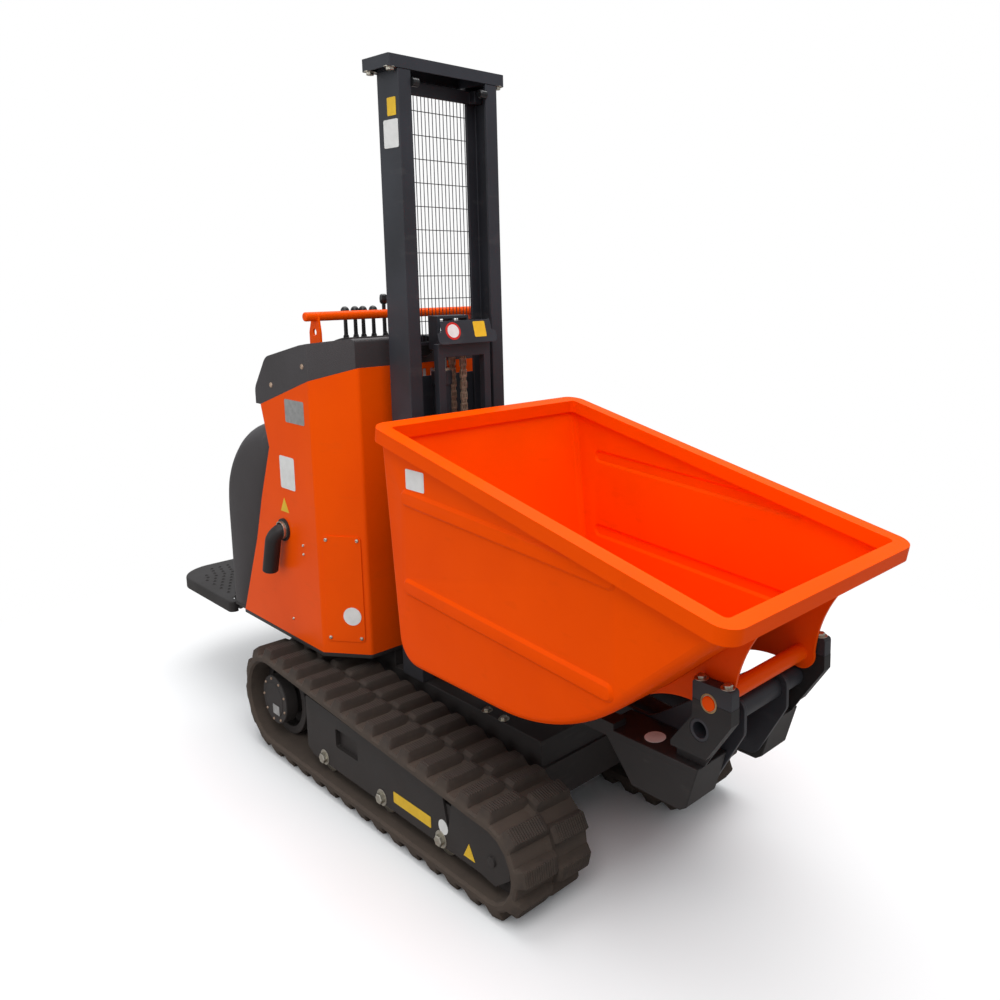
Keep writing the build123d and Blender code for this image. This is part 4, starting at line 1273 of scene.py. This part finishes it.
@dataclass
class Footboard:
    """The rider's platform with its grip dimples."""

    shop: Workshop
    top: float = 0.338
    front: float = 0.895
    reach: float = 0.255
    row: float = 0.030
    rows: int = 13
    full_rows: int = 9
    taper: float = 0.022

    def build(self) -> None:
        """Makes the platform and its staggered raised rings, in shorter rows at the back, with a
        near-black disc of painted shade inside each ring.
        """
        self.shop.soften(Finish.LOW_BLACK, 0.003, "footboard")
        spots = []
        for row in range(self.rows):
            end = self.reach - max(0.0, (row - self.full_rows) * self.taper)
            start = -end + (self.row / 2 if row % 2 else 0.0)
            y = self.front + self.row * row
            spots += [(x, y, self.top) for x in np.arange(start, end + 0.001, self.row)]
        ring = [(-0.0005, 0.0062), (0.0016, 0.0052), (0.0016, 0.0040), (-0.0005, 0.0032),
                (-0.0005, 0.0062)]
        rings = turned(ring, "z", ORIGIN, 10).moved(spots)
        self.shop.put("footboard_rings", rings, Finish.LOW_BLACK, "footboard")
        # Each ring's middle gets a near-black disc: painted shade standing for the shadow in its
        # hollow.
        well = [(0.0001, 0.0), (0.0003, 0.0033), (0.0, 0.0034)]
        well_shades = turned(well, "z", ORIGIN, 10).moved(spots)
        self.shop.put("footboard_wells", well_shades, Finish.DARK, "footboard", closed=False)


# ---------------------------------------------------------------- studio


def stand(thing: bpy.types.Object, side: tuple, top: tuple, back: tuple, place: tuple) -> None:
    """Sets an object's own X, Y and Z directions and its place."""
    columns = np.column_stack([side, top, back, place])
    thing.matrix_world = Matrix([*columns.tolist(), (0, 0, 0, 1)])


@dataclass
class Studio:
    """A pale floor, soft lamps and the camera."""

    place: tuple = (-1.52, -2.19, 1.463)
    right: tuple = (0.669, -0.743, 0.0)
    up: tuple = (0.1159, 0.1044, 0.9876)
    forward: tuple = (0.734, 0.661, -0.156)
    lens: float = 32.4
    shift: tuple = (-0.15, -0.088)

    def floor(self) -> None:
        """A floor that the object's shadow falls on, white wherever the camera looks past it."""
        ring, radii = circle(1.0, 64), np.array([0.0, 2.0, 6.0, 30.0])[:, None]
        points = place_on("z", np.zeros(1), radii * ring[:, 0], radii * ring[:, 1])
        thing = added("floor", mesh_of("floor", grid(points, wrap_v=True), False))
        recipe = Recipe(bpy.data.materials.new("pale_floor"))
        place = recipe.node("ShaderNodeTexCoord", {}, {}).outputs["Object"]
        far = recipe.term("ShaderNodeVectorMath", {"operation": "LENGTH"}, {0: place}, "Value")
        share = ((far - 1.3) / 1.6 + 0.35).held()
        seen = recipe.term("ShaderNodeLightPath", {}, {}, "Is Camera Ray")
        matt = recipe.node("ShaderNodeBsdfDiffuse", {}, {"Color": (0.93, 0.93, 0.93, 1.0)})
        white = recipe.node("ShaderNodeEmission", {}, {"Color": (1, 1, 1, 1), "Strength": 1.0})
        dull = recipe.node("ShaderNodeBsdfDiffuse", {}, {"Color": (0.42, 0.41, 0.40, 1.0)})
        pale = recipe.node("ShaderNodeMixShader", {}, {0: share, 1: matt, 2: white})
        mixed = recipe.node("ShaderNodeMixShader", {}, {0: seen, 1: dull, 2: pale})
        recipe.node("ShaderNodeOutputMaterial", {}, {0: mixed})
        thing.data.materials.append(recipe.owner)
        thing.location.z = -0.0005

    def lamp(self, name: str, place: tuple, target: tuple, size: tuple, power: float) -> None:
        """One area lamp.

        Args:
            name: its name.
            place: where it is.
            target: what it points at, never straight below it.
            size: its two sizes.
            power: its watts.
        """
        data = bpy.data.lights.new(name, "AREA")
        data.shape, data.energy = "RECTANGLE", power
        data.size, data.size_y = size
        back = np.array(place) - np.array(target)
        back /= np.linalg.norm(back)
        side = np.cross((0.0, 0.0, 1.0), back)
        side /= np.linalg.norm(side)
        stand(added(name, data), side, np.cross(back, side), back, place)

    def world(self) -> None:
        """An even sky, white where the camera looks straight at it."""
        recipe = Recipe(bpy.data.worlds.new("sky"))
        seen = recipe.term("ShaderNodeLightPath", {}, {}, "Is Camera Ray")
        glow = {"Color": (0.93, 0.96, 1.0, 1.0), "Strength": 0.58}
        sky = recipe.node("ShaderNodeBackground", {}, glow)
        white = recipe.node("ShaderNodeBackground", {}, {"Color": (1.0, 1.0, 1.0, 1.0)})
        mixed = recipe.node("ShaderNodeMixShader", {}, {0: seen, 1: sky, 2: white})
        recipe.node("ShaderNodeOutputWorld", {}, {0: mixed})
        bpy.context.scene.world = recipe.owner

    def camera(self) -> None:
        """The camera, placed by its own three directions."""
        data = bpy.data.cameras.new("camera")
        data.lens, data.sensor_width = self.lens, 36.0
        data.shift_x, data.shift_y = self.shift
        thing = added("camera", data)
        stand(thing, self.right, self.up, np.negative(self.forward), self.place)
        bpy.context.scene.camera = thing

    def build(self) -> None:
        """Makes the studio."""
        bpy.context.scene.view_settings.view_transform = "Standard"
        self.floor()
        self.world()
        self.lamp("key", (-1.6, -2.6, 4.2), (0.0, -0.2, 0.6), (3.2, 2.4), 85.0)
        self.lamp("top", (0.6, 0.4, 4.6), (0.0, -0.2, 0.8), (4.0, 4.0), 170.0)
        self.lamp("side", (-4.2, 1.0, 2.0), (0.0, 0.0, 0.8), (2.6, 2.6), 32.0)
        self.camera()


def main() -> None:
    """Builds the studio and every sub-assembly, in order."""
    logging.basicConfig(level=logging.INFO)
    shop = Workshop(frame)
    Studio().build()
    for part in (Tracks, RunningGear, Skip, Mast, Carriage, EngineEnd, Footboard):
        LOG.info("building %s", part.__name__)
        part(shop).build()


if __name__ == "__main__":
    main()
